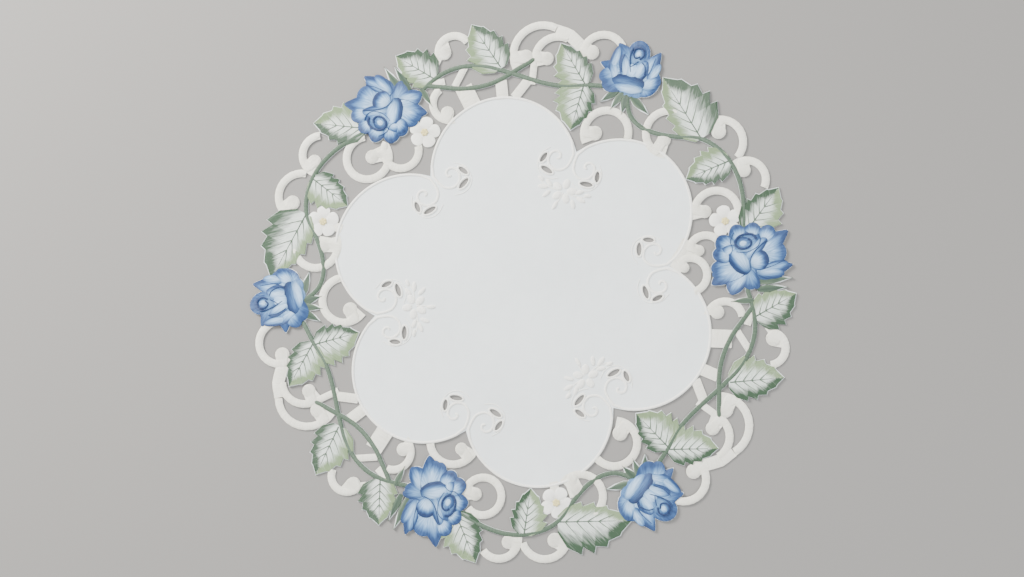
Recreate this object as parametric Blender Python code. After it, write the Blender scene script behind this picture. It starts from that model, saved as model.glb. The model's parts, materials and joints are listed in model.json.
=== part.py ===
"""A round embroidered cutwork doily, 0.40 m across, lying flat on a table.

It is one sheet of cloth. The middle is a plain six-lobed panel. Round it runs an open border of satin scrolls,
stems, leaves, small flowers and roses, which repeats three times, and the ground between these motifs is cut away.
Where two lobes meet, four slim eyelets are cut beside the curls of the panel's edging.

Frame: metres, +Z up. The origin is the middle of the doily on the surface that it lies on.
The tables are in millimetres and degrees. A place is a bearing and a radius. The bearing runs anticlockwise round
the doily's middle and is counted from the large rose of its own repeat.
"""

import math

import bmesh
import bpy

MM = 0.001

# Layout of the whole doily
REPEATS = 3
FIRST_ROSE_BEARING = 8.0  # from +X to the first large rose
STRETCH_ACROSS = 0.009  # the cloth is this much longer along the +45 degree line than its nominal size
TWIST_SHARE = 0.0143  # radians that the cloth is pulled round, twice in a turn
TWIST_PHASE = 20.0

# The cloth with its stitches
THICKNESS = 1.2
BLANK_RADIUS = 230.0
BLANK_STEPS = 48
HELPER_REACH = 2.0  # how far a motif's solid reaches through the cloth
HELPER_STAGGER = 0.02  # how much further each one reaches than the one before, so that no two ends are level
MERGE = 0.000001  # metres

# The plain panel in the middle
LOBES = 6
LOBE_TURN = 0.7
LOBE_HUB = 90.3
LOBE_RADIUS = 55.0
LOBE_STEPS = 14

# Satin bands and stems
BAND = 5.6
STEM = 3.6
ARC_STEP = 24.0
STEM_STEPS = 3

# Scrolls: where the hub is, the band's radius, the sweep anticlockwise (90 points outwards), and the bulb at its end:
# how far its middle is from the hub, and its own radius (0 for a plain band). Repeats lists where it is worked.
ALL = (0, 1, 2)
BULB_STEP = 36.0
BULB_OPENING = 70.0  # degrees to each side of the hub's line at which the bulb's round begins and ends
BULB_SPREAD = 0.9  # most that the bulb takes up of the band's inner radius, as a sine
SCROLLS = (
    # name, bearing, radius, arc, begin, end, bulb_reach, bulb, repeats
    ("outer_hook", 17.6, 182.0, 14.3, 40.0, 168.0, 7.2, 5.0, ALL),
    ("outer_wave", 28.3, 180.0, 17.0, 12.0, 150.0, 8.0, 5.4, ALL),
    ("inner_ring", 13.2, 152.8, 16.0, 60.0, 244.0, 8.4, 4.8, (0,)),
    ("inner_ring", 11.2, 152.7, 15.8, 50.0, 324.0, 3.6, 5.2, (1,)),
    ("inner_ring", 12.0, 152.6, 13.8, 48.0, 354.0, 5.8, 4.8, (2,)),
    ("rose_cradle", 3.1, 137.2, 12.3, 118.0, 245.0, 5.0, 4.0, (0,)),
    ("rose_cradle", 2.9, 138.5, 13.0, 110.0, 334.0, 0.0, 0.0, (1,)),
    ("valley_arch", -3.4, 123.7, 12.4, 10.0, 213.0, 6.7, 3.6, (0,)),
    ("valley_arch", -2.1, 120.1, 17.3, 30.0, 160.0, 8.4, 4.6, (2,)),
    ("stem_ring", 38.9, 157.0, 16.3, 110.0, 283.0, 6.0, 5.0, ALL),
    ("bud_ring", 54.0, 131.3, 16.6, 10.0, 209.0, 8.4, 5.4, ALL),
    ("bud_hook", 63.2, 182.7, 15.8, 10.0, 180.0, 9.0, 5.4, ALL),
    ("wide_arch", 77.6, 175.6, 21.8, 66.0, 194.0, 12.6, 5.8, ALL),
    ("narrow_arch", 73.8, 173.1, 16.7, 70.0, 184.0, 7.8, 5.0, ALL),
    ("leaf_hook", 98.4, 185.6, 12.0, 20.0, 168.0, 7.9, 5.6, ALL),
    ("rose_ring", 103.5, 150.2, 12.8, 106.0, 235.0, 7.5, 5.0, ALL),
)

# Straight or bent bars of cloth
BARS = (
    # places as bearing and radius, width, repeats
    (((75.0, 194.2), (71.8, 191.8), (68.3, 184.6)), 9.0, ALL),
    (((79.4, 173.0), (79.8, 153.0)), 5.0, ALL),
    (((80.9, 156.0), (84.8, 143.5)), 6.8, ALL),
    (((88.3, 157.0), (88.3, 143.0)), 8.6, ALL),
    (((98.6, 158.0), (97.4, 142.0)), 13.0, ALL),
    (((100.8, 160.6), (97.0, 172.0)), 5.0, ALL),
    (((106.8, 169.0), (102.8, 166.8)), 5.0, ALL),
    (((37.2, 156.0), (36.8, 142.0)), 6.0, (1, 2)),
    (((32.4, 151.0), (32.4, 142.0)), 6.4, (1, 2)),
    (((8.2, 126.7), (4.5, 119.5), (1.4, 112.7)), 7.4, (0,)),
    (((1.9, 112.2), (-1.4, 118.9)), 6.4, (0,)),
)

# Stems run through these places
STEMS = (
    (
        (54.0, 163.0),
        (50.6, 151.5),
        (46.2, 148.0),
        (41.3, 151.0),
        (36.8, 158.5),
        (31.9, 171.0),
        (26.4, 177.0),
        (20.5, 178.2),
        (14.5, 175.0),
        (7.5, 168.4),
        (3.5, 165.0),
    ),
    (
        (59.0, 163.5),
        (65.2, 158.2),
        (70.5, 154.2),
        (75.5, 154.2),
        (80.2, 156.8),
        (85.4, 161.8),
        (91.0, 168.0),
        (96.0, 172.2),
        (101.0, 173.2),
        (106.0, 170.5),
        (112.0, 164.5),
    ),
    (
        (107.5, 169.5),
        (103.2, 162.3),
        (98.8, 157.0),
        (93.6, 155.2),
        (88.8, 157.4),
        (83.6, 164.5),
        (79.4, 172.0),
    ),
)

# Leaves: left and right are how far the blade reaches to each side for someone who looks from its base to its tip
LEAF_TEETH = 4
LEAF_FOOT = (0.0, 0.35)  # share of the length and of the full reach at the base
LEAF_SHOULDER = (0.12, 0.80)
FIRST_TOOTH = 0.32  # share of the length
TEETH_SPAN = 0.52
TOOTH_HOOK = 0.02  # how much further along the notch behind a tooth lies
TOOTH_TIP = 1.04  # share of the leaf's swell
TOOTH_NOTCH = 0.80
LEAF_SKEW = 0.72  # under 1 the leaf is widest nearer to its base
LEAF_FULLNESS = 0.8
LEAVES = (
    # base_bearing, base_radius, tip_bearing, tip_radius, left, right
    (6.0, 169.0, 13.2, 201.5, 14.0, 18.0),
    (23.4, 178.4, 25.6, 144.2, 12.0, 15.5),
    (31.8, 171.2, 48.6, 187.0, 14.0, 24.0),
    (65.2, 158.6, 73.6, 185.4, 17.0, 12.0),
    (65.6, 158.0, 65.4, 123.0, 12.0, 19.0),
    (87.9, 166.0, 93.4, 202.4, 18.0, 14.5),
    (105.0, 171.5, 110.8, 200.4, 13.5, 16.5),
)

BLADE_EDGE = ((0.0, 0.30), (0.30, 0.50), (0.65, 0.36))  # shares of the length and of the breadth
BLADES = (
    # base_bearing, base_radius, tip_bearing, tip_radius, breadth
    (52.6, 163.0, 45.8, 158.4, 6.5),
    (54.0, 164.0, 52.6, 148.0, 7.0),
    (55.0, 164.0, 56.2, 147.5, 6.0),
    (56.5, 163.0, 59.8, 150.0, 6.0),
    (113.6, 171.0, 114.0, 197.6, 7.0),
    (111.6, 172.0, 112.1, 194.0, 6.0),
    (109.0, 169.0, 108.4, 153.0, 5.0),
)

FLOWER_RADIUS = 11.8
FLOWER_PETALS = 5
FLOWER_STEPS = 6  # corners of each petal
FLOWER_WAIST = 0.6  # share of the radius between two petals
FLOWER_ROUNDNESS = 0.55
FLOWERS = (
    # bearing, radius, turn, repeats
    (10.1, 156.6, 10.0, (0,)),
    (-6.1, 139.2, 30.0, (1,)),
    (32.2, 157.2, 0.0, (1, 2)),
)

# Petals of a rose about its own middle: across (anticlockwise side positive) and out are the petal's middle, heading
# is the way its tip points (0 outwards, 90 anticlockwise), and pull draws the tip out to a point.
PETAL_STEPS = 12
PETAL_POINT = 6  # the higher, the slimmer is the drawn-out tip
LARGE_ROSE_PLACE = (-0.7, 167.5)
LARGE_ROSE = (
    # across, out, heading, length, breadth, pull
    (8.0, 16.0, 30.0, 24.0, 18.0, 0.20),
    (1.5, 18.0, 0.0, 19.0, 18.0, 0.0),
    (-10.2, 13.5, 5.0, 25.0, 16.0, 0.20),
    (14.5, 14.0, 58.0, 17.0, 14.0, 0.0),
    (18.0, 5.0, 85.0, 16.0, 13.0, 0.0),
    (17.0, -6.0, 100.0, 18.5, 13.5, 0.0),
    (11.5, -15.0, 140.0, 18.0, 15.0, 0.0),
    (5.5, -18.5, 172.0, 15.5, 12.5, 0.0),
    (-3.5, -19.0, 184.0, 19.5, 12.5, 0.0),
    (-8.5, -17.0, 208.0, 22.0, 16.0, 0.15),
    (-14.0, -10.5, 240.0, 23.0, 15.0, 0.0),
    (-13.5, -1.0, 270.0, 19.0, 15.0, 0.0),
    (0.0, 0.0, 0.0, 34.0, 34.0, 0.0),
)
SMALL_ROSE_PLACE = (54.6, 180.0)
SMALL_ROSE = (
    # across, out, heading, length, breadth, pull
    (4.0, 12.5, 14.0, 22.0, 18.0, 0.0),
    (-8.5, 8.5, -8.0, 19.0, 14.0, 0.20),
    (-11.0, -3.0, 262.0, 20.0, 23.0, 0.0),
    (10.5, 8.0, 60.0, 18.0, 15.0, 0.2),
    (12.5, -3.0, 95.0, 20.0, 17.0, 0.24),
    (9.5, -10.5, 140.0, 25.0, 18.0, 0.0),
    (-5.0, -8.0, 214.0, 20.0, 16.0, 0.0),
    (0.0, -2.0, 0.0, 34.0, 27.0, 0.0),
)

# How the roses of each repeat lie: the shares of across and out that make the new across, then those that make the
# new out, and a shift of both in millimetres
LARGE_ROSE_LIES = (
    # across_across, out_across, across_out, out_out, shift_across, shift_out
    (1.0, 0.0, 0.0, 1.0, 0.0, 0.0),
    (0.96, 0.25, -0.28, 0.88, -1.4, 3.0),
    (1.0, 0.0, 0.0, 1.0, 0.0, -1.6),
)
SMALL_ROSE_LIES = (
    # across_across, out_across, across_out, out_out, shift_across, shift_out
    (1.0, 0.0, 0.0, 1.0, 0.0, 0.0),
    (1.0, 0.0, 0.05, 1.0, -6.7, -1.2),
    (1.05, 0.15, -0.16, 1.0, -2.4, -2.0),
)

# Eyelets, on both sides of every valley between two lobes
EYELETS = (
    # off_valley, radius, lean, length, breadth
    (12.4, 99.9, -28.0, 8.4, 3.8),
    (10.0, 91.2, 70.0, 10.0, 4.0),
)
EYELET_STEPS = 10

CLOTH_COLOUR = (0.76, 0.79, 0.79, 1.0)
CLOTH_ROUGHNESS = 0.85


def spot(bearing, radius):
    """A place from the tables as x and y, in millimetres."""
    angle = math.radians(bearing)
    return (radius * math.cos(angle), radius * math.sin(angle))


def beside(place, across, out):
    """A place moved by millimetres anticlockwise and outwards from the given bearing and radius."""
    x, y = spot(*place)
    angle = math.radians(place[0])
    return (
        x - across * math.sin(angle) + out * math.cos(angle),
        y + across * math.cos(angle) + out * math.sin(angle),
    )


def settled(x, y):
    """Where the place lies in the cloth as it rests, a little out of round."""
    radius = math.hypot(x, y)
    angle = math.atan2(y, x)
    radius *= 1.0 + STRETCH_ACROSS * math.sin(2.0 * angle)
    angle += TWIST_SHARE * math.cos(2.0 * angle - math.radians(TWIST_PHASE))
    return (radius * math.cos(angle), radius * math.sin(angle))


def laid(outline, repeat):
    """An outline of the tables turned to its repeat, settled, and in metres."""
    turn = math.radians(FIRST_ROSE_BEARING + 360.0 / REPEATS * repeat)
    cosine, sine = math.cos(turn), math.sin(turn)
    places = []
    for x, y in outline:
        place = settled(x * cosine - y * sine, x * sine + y * cosine)
        places.append((place[0] * MM, place[1] * MM))
    return places


def arc(hub, radius, begin, end, step=ARC_STEP):
    """Points on an arc about a place, with its angles in degrees."""
    steps = max(2, round(abs(end - begin) / step))
    points = []
    for i in range(steps + 1):
        angle = math.radians(begin + (end - begin) * i / steps)
        points.append((hub[0] + radius * math.cos(angle), hub[1] + radius * math.sin(angle)))
    return points


def scroll_outline(bearing, radius, reach, begin, end, bulb_reach, bulb):
    """A satin band on an arc. Its end thickens towards the hub into a round bulb."""
    hub = spot(bearing, radius)
    first = bearing - 90.0 + begin
    last = bearing - 90.0 + end
    outer = arc(hub, reach + BAND / 2, first, last)
    if not bulb:
        return outer + arc(hub, reach - BAND / 2, last, first)
    swing = math.degrees(math.asin(min(BULB_SPREAD, bulb / (reach - BAND / 2))))
    middle = (
        hub[0] + bulb_reach * math.cos(math.radians(last)),
        hub[1] + bulb_reach * math.sin(math.radians(last)),
    )
    outer = arc(hub, reach + BAND / 2, first, last + swing)
    cap = arc(middle, bulb, last + BULB_OPENING, last + 360.0 - BULB_OPENING, BULB_STEP)
    return outer + cap + arc(hub, reach - BAND / 2, last - swing, first)


def smooth_route(places, steps):
    """Points along the smooth curve that runs through all the places."""
    ends = [places[0]] + list(places) + [places[-1]]
    route = []
    for before, start, stop, after in zip(ends, ends[1:], ends[2:], ends[3:]):
        for i in range(steps):
            t = i / steps
            route.append(
                tuple(
                    s + (e - b) / 2 * t + (b - 2.5 * s + 2 * e - a / 2) * t**2 + (1.5 * (s - e) + (a - b) / 2) * t**3
                    for b, s, e, a in zip(before, start, stop, after)
                )
            )
    route.append(places[-1])
    return route


def ribbon_outline(route, width):
    """A band of even width along a route."""
    left, right = [], []
    for i, (x, y) in enumerate(route):
        back = route[max(0, i - 1)]
        ahead = route[min(len(route) - 1, i + 1)]
        run = math.hypot(ahead[0] - back[0], ahead[1] - back[1])
        side = ((back[1] - ahead[1]) / run * width / 2, (ahead[0] - back[0]) / run * width / 2)
        left.append((x + side[0], y + side[1]))
        right.append((x - side[0], y - side[1]))
    return left + right[::-1]


def along(base, tip, share, side):
    """The point at a share of the way from base to tip, and side millimetres to the left of that line."""
    run = math.hypot(tip[0] - base[0], tip[1] - base[1])
    ahead = ((tip[0] - base[0]) / run, (tip[1] - base[1]) / run)
    reach = share * run
    return (
        base[0] + ahead[0] * reach - ahead[1] * side,
        base[1] + ahead[1] * reach + ahead[0] * side,
    )


def leaf_outline(base_bearing, base_radius, tip_bearing, tip_radius, left, right):
    """An egg-shaped leaf with saw teeth that point to its tip."""
    base = spot(base_bearing, base_radius)
    tip = spot(tip_bearing, tip_radius)
    edge = [LEAF_FOOT, LEAF_SHOULDER]
    for tooth in range(LEAF_TEETH):
        share = FIRST_TOOTH + TEETH_SPAN * tooth / (LEAF_TEETH - 1)
        swell = math.sin(math.pi * share**LEAF_SKEW) ** LEAF_FULLNESS
        edge.append((share, swell * TOOTH_TIP))
        edge.append((share + TOOTH_HOOK, swell * TOOTH_NOTCH))
    left_edge = [along(base, tip, share, height * left) for share, height in edge]
    right_edge = [along(base, tip, share, -height * right) for share, height in edge]
    return left_edge + [tip] + right_edge[::-1]


def blade_outline(base_bearing, base_radius, tip_bearing, tip_radius, breadth):
    """A slim pointed sepal."""
    base = spot(base_bearing, base_radius)
    tip = spot(tip_bearing, tip_radius)
    left = [along(base, tip, share, height * breadth) for share, height in BLADE_EDGE]
    right = [along(base, tip, share, -height * breadth) for share, height in BLADE_EDGE]
    return left + [tip] + right[::-1]


def petal_outline(place, lie, across, out, heading, length, breadth, pull):
    """One petal: an oval whose tip may be drawn out to a point, moved as its rose lies."""
    turn = math.radians(heading)
    outline = []
    for i in range(PETAL_STEPS):
        angle = 2.0 * math.pi * i / PETAL_STEPS
        draw = pull * ((1.0 + math.cos(angle)) / 2.0) ** PETAL_POINT
        ahead = length / 2 * (math.cos(angle) + 2.0 * draw)
        side = breadth / 2 * math.sin(angle)
        u = across + ahead * math.sin(turn) + side * math.cos(turn)
        v = out + ahead * math.cos(turn) - side * math.sin(turn)
        outline.append(beside(place, lie[0] * u + lie[1] * v + lie[4], lie[2] * u + lie[3] * v + lie[5]))
    return outline[::-1]


def flower_outline(bearing, radius, turn):
    """Five round petals about a middle."""
    start = math.radians(turn)
    outline = []
    for i in range(FLOWER_PETALS * FLOWER_STEPS):
        angle = 2.0 * math.pi * i / (FLOWER_PETALS * FLOWER_STEPS)
        swell = abs(math.cos(FLOWER_PETALS * angle / 2.0)) ** FLOWER_ROUNDNESS
        reach = FLOWER_RADIUS * (FLOWER_WAIST + (1.0 - FLOWER_WAIST) * swell)
        outline.append(
            beside((bearing, radius), reach * math.sin(angle + start), reach * math.cos(angle + start))
        )
    return outline


def eyelet_outline(bearing, radius, lean, length, breadth):
    """A slim oval whose long axis leans anticlockwise from outwards."""
    turn = math.radians(lean)
    outline = []
    for i in range(EYELET_STEPS):
        angle = 2.0 * math.pi * i / EYELET_STEPS
        ahead = length / 2 * math.cos(angle)
        side = breadth / 2 * math.sin(angle)
        outline.append(
            beside(
                (bearing, radius),
                ahead * math.sin(turn) - side * math.cos(turn),
                ahead * math.cos(turn) + side * math.sin(turn),
            )
        )
    return outline


def panel_outline():
    """The six-lobed panel: equal arcs that meet in the valleys."""
    aside = LOBE_HUB * math.sin(math.pi / LOBES)
    swing = 180.0 / LOBES + math.degrees(math.asin(aside / LOBE_RADIUS))
    outline = []
    for lobe in range(LOBES):
        bearing = LOBE_TURN + 360.0 / LOBES * (lobe + 0.5)
        hub = spot(bearing, LOBE_HUB)
        points = arc(hub, LOBE_RADIUS, bearing - swing, bearing + swing, 2 * swing / LOBE_STEPS)
        outline += points[:-1]
    return outline


def new_collection(name, hidden=False):
    """A collection in the scene, which a render leaves out if it is hidden."""
    collection = bpy.data.collections.new(name)
    collection.hide_render = hidden
    bpy.context.scene.collection.children.link(collection)
    return collection


def flat_solid(name, outline, bottom, top, collection):
    """A closed flat solid between two heights in millimetres, from an outline in metres."""
    curve = bpy.data.curves.new(name, "CURVE")
    curve.dimensions = "2D"
    curve.fill_mode = "BOTH"
    curve.extrude = (top - bottom) / 2 * MM
    spline = curve.splines.new("POLY")
    spline.points.add(len(outline) - 1)
    for point, (x, y) in zip(spline.points, outline):
        point.co = (x, y, 0.0, 1.0)
    spline.use_cyclic_u = True
    drawn = bpy.data.objects.new(name, curve)
    bpy.context.scene.collection.objects.link(drawn)
    mesh = bpy.data.meshes.new_from_object(drawn.evaluated_get(bpy.context.evaluated_depsgraph_get()))
    bpy.data.objects.remove(drawn)
    work = bmesh.new()
    work.from_mesh(mesh)
    bmesh.ops.translate(work, verts=work.verts, vec=(0.0, 0.0, (top + bottom) / 2 * MM))
    bmesh.ops.remove_doubles(work, verts=work.verts, dist=MERGE)
    bmesh.ops.recalc_face_normals(work, faces=work.faces)
    work.to_mesh(mesh)
    work.free()
    solid = bpy.data.objects.new(name, mesh)
    collection.objects.link(solid)
    return solid


def add_helper(name, outline, repeat, collection):
    """A solid that reaches through the cloth on both sides and is only joined to it or cut from it."""
    reach = HELPER_REACH + HELPER_STAGGER * len(collection.objects)
    solid = flat_solid(name, laid(outline, repeat), -reach, THICKNESS + reach, collection)
    solid.hide_render = True
    solid.display_type = "WIRE"
    return solid


def add_motifs(collection):
    """Every motif of the border as a solid of its own."""
    for name, *sizes, repeats in SCROLLS:
        for repeat in repeats:
            add_helper(f"{name}_{repeat}", scroll_outline(*sizes), repeat, collection)
    for number, (places, width, repeats) in enumerate(BARS):
        for repeat in repeats:
            route = [spot(*place) for place in places]
            add_helper(f"bar{number}_{repeat}", ribbon_outline(route, width), repeat, collection)
    for number, (*sizes, repeats) in enumerate(FLOWERS):
        for repeat in repeats:
            add_helper(f"flower{number}_{repeat}", flower_outline(*sizes), repeat, collection)
    for repeat in range(REPEATS):
        for number, places in enumerate(STEMS):
            route = smooth_route([spot(*place) for place in places], STEM_STEPS)
            add_helper(f"stem{number}_{repeat}", ribbon_outline(route, STEM), repeat, collection)
        for number, sizes in enumerate(LEAVES):
            add_helper(f"leaf{number}_{repeat}", leaf_outline(*sizes), repeat, collection)
        for number, sizes in enumerate(BLADES):
            add_helper(f"blade{number}_{repeat}", blade_outline(*sizes), repeat, collection)
        for number, sizes in enumerate(LARGE_ROSE):
            outline = petal_outline(LARGE_ROSE_PLACE, LARGE_ROSE_LIES[repeat], *sizes)
            add_helper(f"large_petal{number}_{repeat}", outline, repeat, collection)
        for number, sizes in enumerate(SMALL_ROSE):
            outline = petal_outline(SMALL_ROSE_PLACE, SMALL_ROSE_LIES[repeat], *sizes)
            add_helper(f"small_petal{number}_{repeat}", outline, repeat, collection)


def add_eyelets(collection):
    """The cutters of the eyelets, four at each valley, alike on its two sides."""
    for valley in range(LOBES):
        middle = LOBE_TURN + 360.0 / LOBES * valley
        for number, (off_valley, radius, lean, length, breadth) in enumerate(EYELETS):
            for side in (-1, 1):
                outline = eyelet_outline(middle + side * off_valley, radius, side * lean, length, breadth)
                add_helper(f"eyelet{valley}_{number}_{side + 1}", outline, 0, collection)


def combine(solid, operation, other):
    """A Boolean of the solid with another solid, or with every solid of a collection."""
    modifier = solid.modifiers.new(operation.lower(), "BOOLEAN")
    modifier.operation = operation
    modifier.solver = "EXACT"
    if isinstance(other, bpy.types.Collection):
        modifier.operand_type = "COLLECTION"
        modifier.collection = other
    else:
        modifier.object = other


def cloth_material():
    """Close-woven pale cloth."""
    material = bpy.data.materials.new("cloth")
    material.use_nodes = True
    shader = material.node_tree.nodes["Principled BSDF"]
    shader.inputs["Base Color"].default_value = CLOTH_COLOUR
    shader.inputs["Roughness"].default_value = CLOTH_ROUGHNESS
    shader.inputs["Metallic"].default_value = 0.0
    return material


def main():
    """Builds the doily in an empty scene."""
    for old in list(bpy.data.objects):
        bpy.data.objects.remove(old)
    doily = new_collection("doily")
    helpers = new_collection("pattern", hidden=True)
    motifs = new_collection("border_motifs", hidden=True)
    eyelets = new_collection("eyelet_cutters", hidden=True)
    add_motifs(motifs)
    add_eyelets(eyelets)
    pattern = add_helper("pattern_solid", panel_outline(), 0, helpers)
    combine(pattern, "UNION", motifs)
    combine(pattern, "DIFFERENCE", eyelets)
    blank = laid(arc((0.0, 0.0), BLANK_RADIUS, 0.0, 360.0, 360.0 / BLANK_STEPS)[:-1], 0)
    cloth = flat_solid("doily_cloth", blank, 0.0, THICKNESS, doily)
    cloth.data.materials.append(cloth_material())
    combine(cloth, "INTERSECT", pattern)


main()
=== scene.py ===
"""Visual model of a round embroidered cutwork doily, 0.40 m across, lying flat.

The doily is one sheet of cloth with a plain six-lobed middle and an open border, which repeats three times.
The needlework lies on that sheet: satin scrolls, stems, leaves, sepals, small flowers, roses, the edging of
the middle with its curls, the rims of the eyelets, and three white sprays.

Every table is in millimetres and degrees. A place is a bearing and a radius, and the bearing is counted
anticlockwise from the large rose of its own repeat. Objects are in metres, with the place in the mesh.
"""

import json
import logging
import math
from abc import ABC, abstractmethod
from dataclasses import dataclass
from enum import Enum
from functools import partial
from typing import Callable, NamedTuple, Sequence

import bmesh
import bpy
from bmesh.types import BMFace, BMVert, BMesh
from bpy.types import Collection, Material, Mesh, Node, NodeSocket, NodeTree, Object
from mathutils import Matrix, Vector, noise

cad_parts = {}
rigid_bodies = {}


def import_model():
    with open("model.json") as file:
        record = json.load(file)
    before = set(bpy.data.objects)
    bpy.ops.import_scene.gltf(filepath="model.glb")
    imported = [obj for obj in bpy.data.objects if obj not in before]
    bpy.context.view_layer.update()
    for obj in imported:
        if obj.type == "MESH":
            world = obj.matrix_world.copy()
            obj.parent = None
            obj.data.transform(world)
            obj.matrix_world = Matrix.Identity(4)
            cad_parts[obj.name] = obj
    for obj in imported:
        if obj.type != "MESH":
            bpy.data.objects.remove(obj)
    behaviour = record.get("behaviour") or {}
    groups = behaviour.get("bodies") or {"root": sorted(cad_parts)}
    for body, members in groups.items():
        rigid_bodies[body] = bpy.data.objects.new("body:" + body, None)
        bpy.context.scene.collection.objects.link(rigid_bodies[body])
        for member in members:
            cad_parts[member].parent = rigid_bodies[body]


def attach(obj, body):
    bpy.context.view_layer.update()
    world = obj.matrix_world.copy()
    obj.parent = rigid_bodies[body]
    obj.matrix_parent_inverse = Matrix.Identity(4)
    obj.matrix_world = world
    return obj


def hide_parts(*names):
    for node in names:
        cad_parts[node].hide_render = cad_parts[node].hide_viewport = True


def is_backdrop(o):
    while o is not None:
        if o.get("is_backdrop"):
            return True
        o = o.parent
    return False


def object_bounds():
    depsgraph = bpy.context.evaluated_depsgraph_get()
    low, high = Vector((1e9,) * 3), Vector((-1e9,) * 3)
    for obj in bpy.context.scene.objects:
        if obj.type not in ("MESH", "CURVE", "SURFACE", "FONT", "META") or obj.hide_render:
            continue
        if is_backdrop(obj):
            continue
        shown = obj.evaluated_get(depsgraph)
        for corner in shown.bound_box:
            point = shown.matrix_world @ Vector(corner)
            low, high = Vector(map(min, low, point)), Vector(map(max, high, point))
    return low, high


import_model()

LOG = logging.getLogger("doily")
MM = 0.001
REPEATS = 3
ALL = tuple(range(REPEATS))
# heights over the underside of the cloth: its woven top, and where padded shapes end inside it
CLOTH_TOP = 0.5
FOOT = 0.25
# how far a ribbon reaches down under its edges, and how blunt its round ends are
RIBBON_DEPTH = 0.3
BLUNT_END = 0.12
# from how many degrees an edge of thread is sharp
SHARP_THREAD = 55.0
# stations across a round band, from one edge to the other
ROUND_SIDES = (-1.0, -0.86, -0.5, 0.0, 0.5, 0.86, 1.0)

Place = tuple[float, float]
Route = tuple[Place, ...]
Motif = tuple[list[Place], int]
Colour = tuple[float, float, float]
Stops = tuple[tuple[float, Colour], ...]
Table = tuple[tuple[float, ...], ...]
# a ribbon of a rose: places as across and out, width, shade, height, shares of the width at both ends
Line = tuple[Route, float, float, float, tuple[float, float]]
Form = Callable[[float, float], "Stitch"]


class Stitch(NamedTuple):
    """One point of needlework: its place, its thread's run, and how it is shaded."""

    x: float
    y: float
    z: float
    along: float = 0.0
    across: float = 0.0
    shade: float = 0.0
    side: float = 0.0


class Join(Enum):
    """How a Boolean joins two solids."""

    ADD = "UNION"
    CUT = "DIFFERENCE"
    COMMON = "INTERSECT"


class DarkSide(Enum):
    """Which edge of a leaf, seen from its base, is the dark green one."""

    LEFT = 1
    RIGHT = -1


# ---------------------------------------------------------------- places and curves


def spot(bearing: float, radius: float) -> Place:
    """Turns a bearing and a radius into x and y, in millimetres."""
    angle = math.radians(bearing)
    return (radius * math.cos(angle), radius * math.sin(angle))


def beside(place: Place, across: float, out: float) -> Place:
    """Moves a place of the tables.

    Args:
        place: Bearing and radius.
        across: Millimetres anticlockwise.
        out: Millimetres outwards.

    Returns:
        The moved place as x and y.
    """
    x, y = spot(*place)
    angle = math.radians(place[0])
    return (
        x - across * math.sin(angle) + out * math.cos(angle),
        y + across * math.cos(angle) + out * math.sin(angle),
    )


def stepped(start: Place, heading: float, ahead: float, side: float = 0.0) -> Place:
    """Goes from a place along a heading.

    Args:
        start: Where it starts, as across and out.
        heading: Degrees, 0 outwards and 90 anticlockwise.
        ahead: Millimetres along the heading.
        side: Millimetres to its left.

    Returns:
        The place as across and out.
    """
    turn = math.radians(heading)
    return (
        start[0] + ahead * math.sin(turn) + side * math.cos(turn),
        start[1] + ahead * math.cos(turn) - side * math.sin(turn),
    )


def span(base: Place, tip: Place) -> float:
    """How far two places of the tables are apart, in millimetres."""
    return math.dist(spot(*base), spot(*tip))


def along(base: Place, tip: Place, share: float, side: float) -> Place:
    """Goes a share of the way between two places of the tables.

    Args:
        base: Bearing and radius of the start.
        tip: Bearing and radius of the end.
        share: Share of the way.
        side: Millimetres to its left.

    Returns:
        The place as x and y.
    """
    run = span(base, tip)
    (x, y), (to_x, to_y) = spot(*base), spot(*tip)
    ahead_x, ahead_y = (to_x - x) / run, (to_y - y) / run
    return (x + ahead_x * share * run - ahead_y * side, y + ahead_y * share * run + ahead_x * side)


def about(hub: Place, angle: float, reach: float) -> Place:
    """The place at an angle in degrees and a reach about a hub, as x and y."""
    x, y = spot(angle, reach)
    return (hub[0] + x, hub[1] + y)


def arc(hub: Place, radius: float, begin: float, end: float, step: float) -> list[Place]:
    """Points on an arc.

    Args:
        hub: Middle of the arc as x and y.
        radius: Its radius.
        begin: First angle in degrees.
        end: Last angle in degrees.
        step: Roughly how many degrees lie between two points.

    Returns:
        The points as x and y.
    """
    steps = max(2, round(abs(end - begin) / step))
    return [about(hub, begin + (end - begin) * i / steps, radius) for i in range(steps + 1)]


def curved(before: float, start: float, stop: float, after: float, share: float) -> float:
    """One coordinate of the smooth curve through four points.

    Args:
        before: The coordinate of the first point.
        start: Of the second, where this stretch starts.
        stop: Of the third, where it ends.
        after: Of the fourth.
        share: Share of the stretch.

    Returns:
        The coordinate.
    """
    bend = before - 2.5 * start + 2.0 * stop - after / 2.0
    sway = 1.5 * (start - stop) + (after - before) / 2.0
    return start + (stop - before) / 2.0 * share + bend * share**2 + sway * share**3


def smooth_route(places: Sequence[Place], steps: int) -> list[Place]:
    """Points along the smooth curve through all the places.

    Args:
        places: Points as x and y.
        steps: How many pieces lie between two of them.

    Returns:
        The points of the curve.
    """
    ends = [places[0], *places, places[-1]]
    route = []
    for four in zip(ends, ends[1:], ends[2:], ends[3:]):
        for i in range(steps):
            route.append(tuple(curved(*ordinates, i / steps) for ordinates in zip(*four)))
    route.append(places[-1])
    return route


def leftward(route: Sequence[Place], i: int) -> Place:
    """The unit step to the left of a route.

    Args:
        route: The route as x and y.
        i: Number of the point where it is taken.

    Returns:
        The step.
    """
    back, ahead = route[max(0, i - 1)], route[min(len(route) - 1, i + 1)]
    run = math.dist(back, ahead) or 1.0
    return ((back[1] - ahead[1]) / run, (ahead[0] - back[0]) / run)


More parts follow.
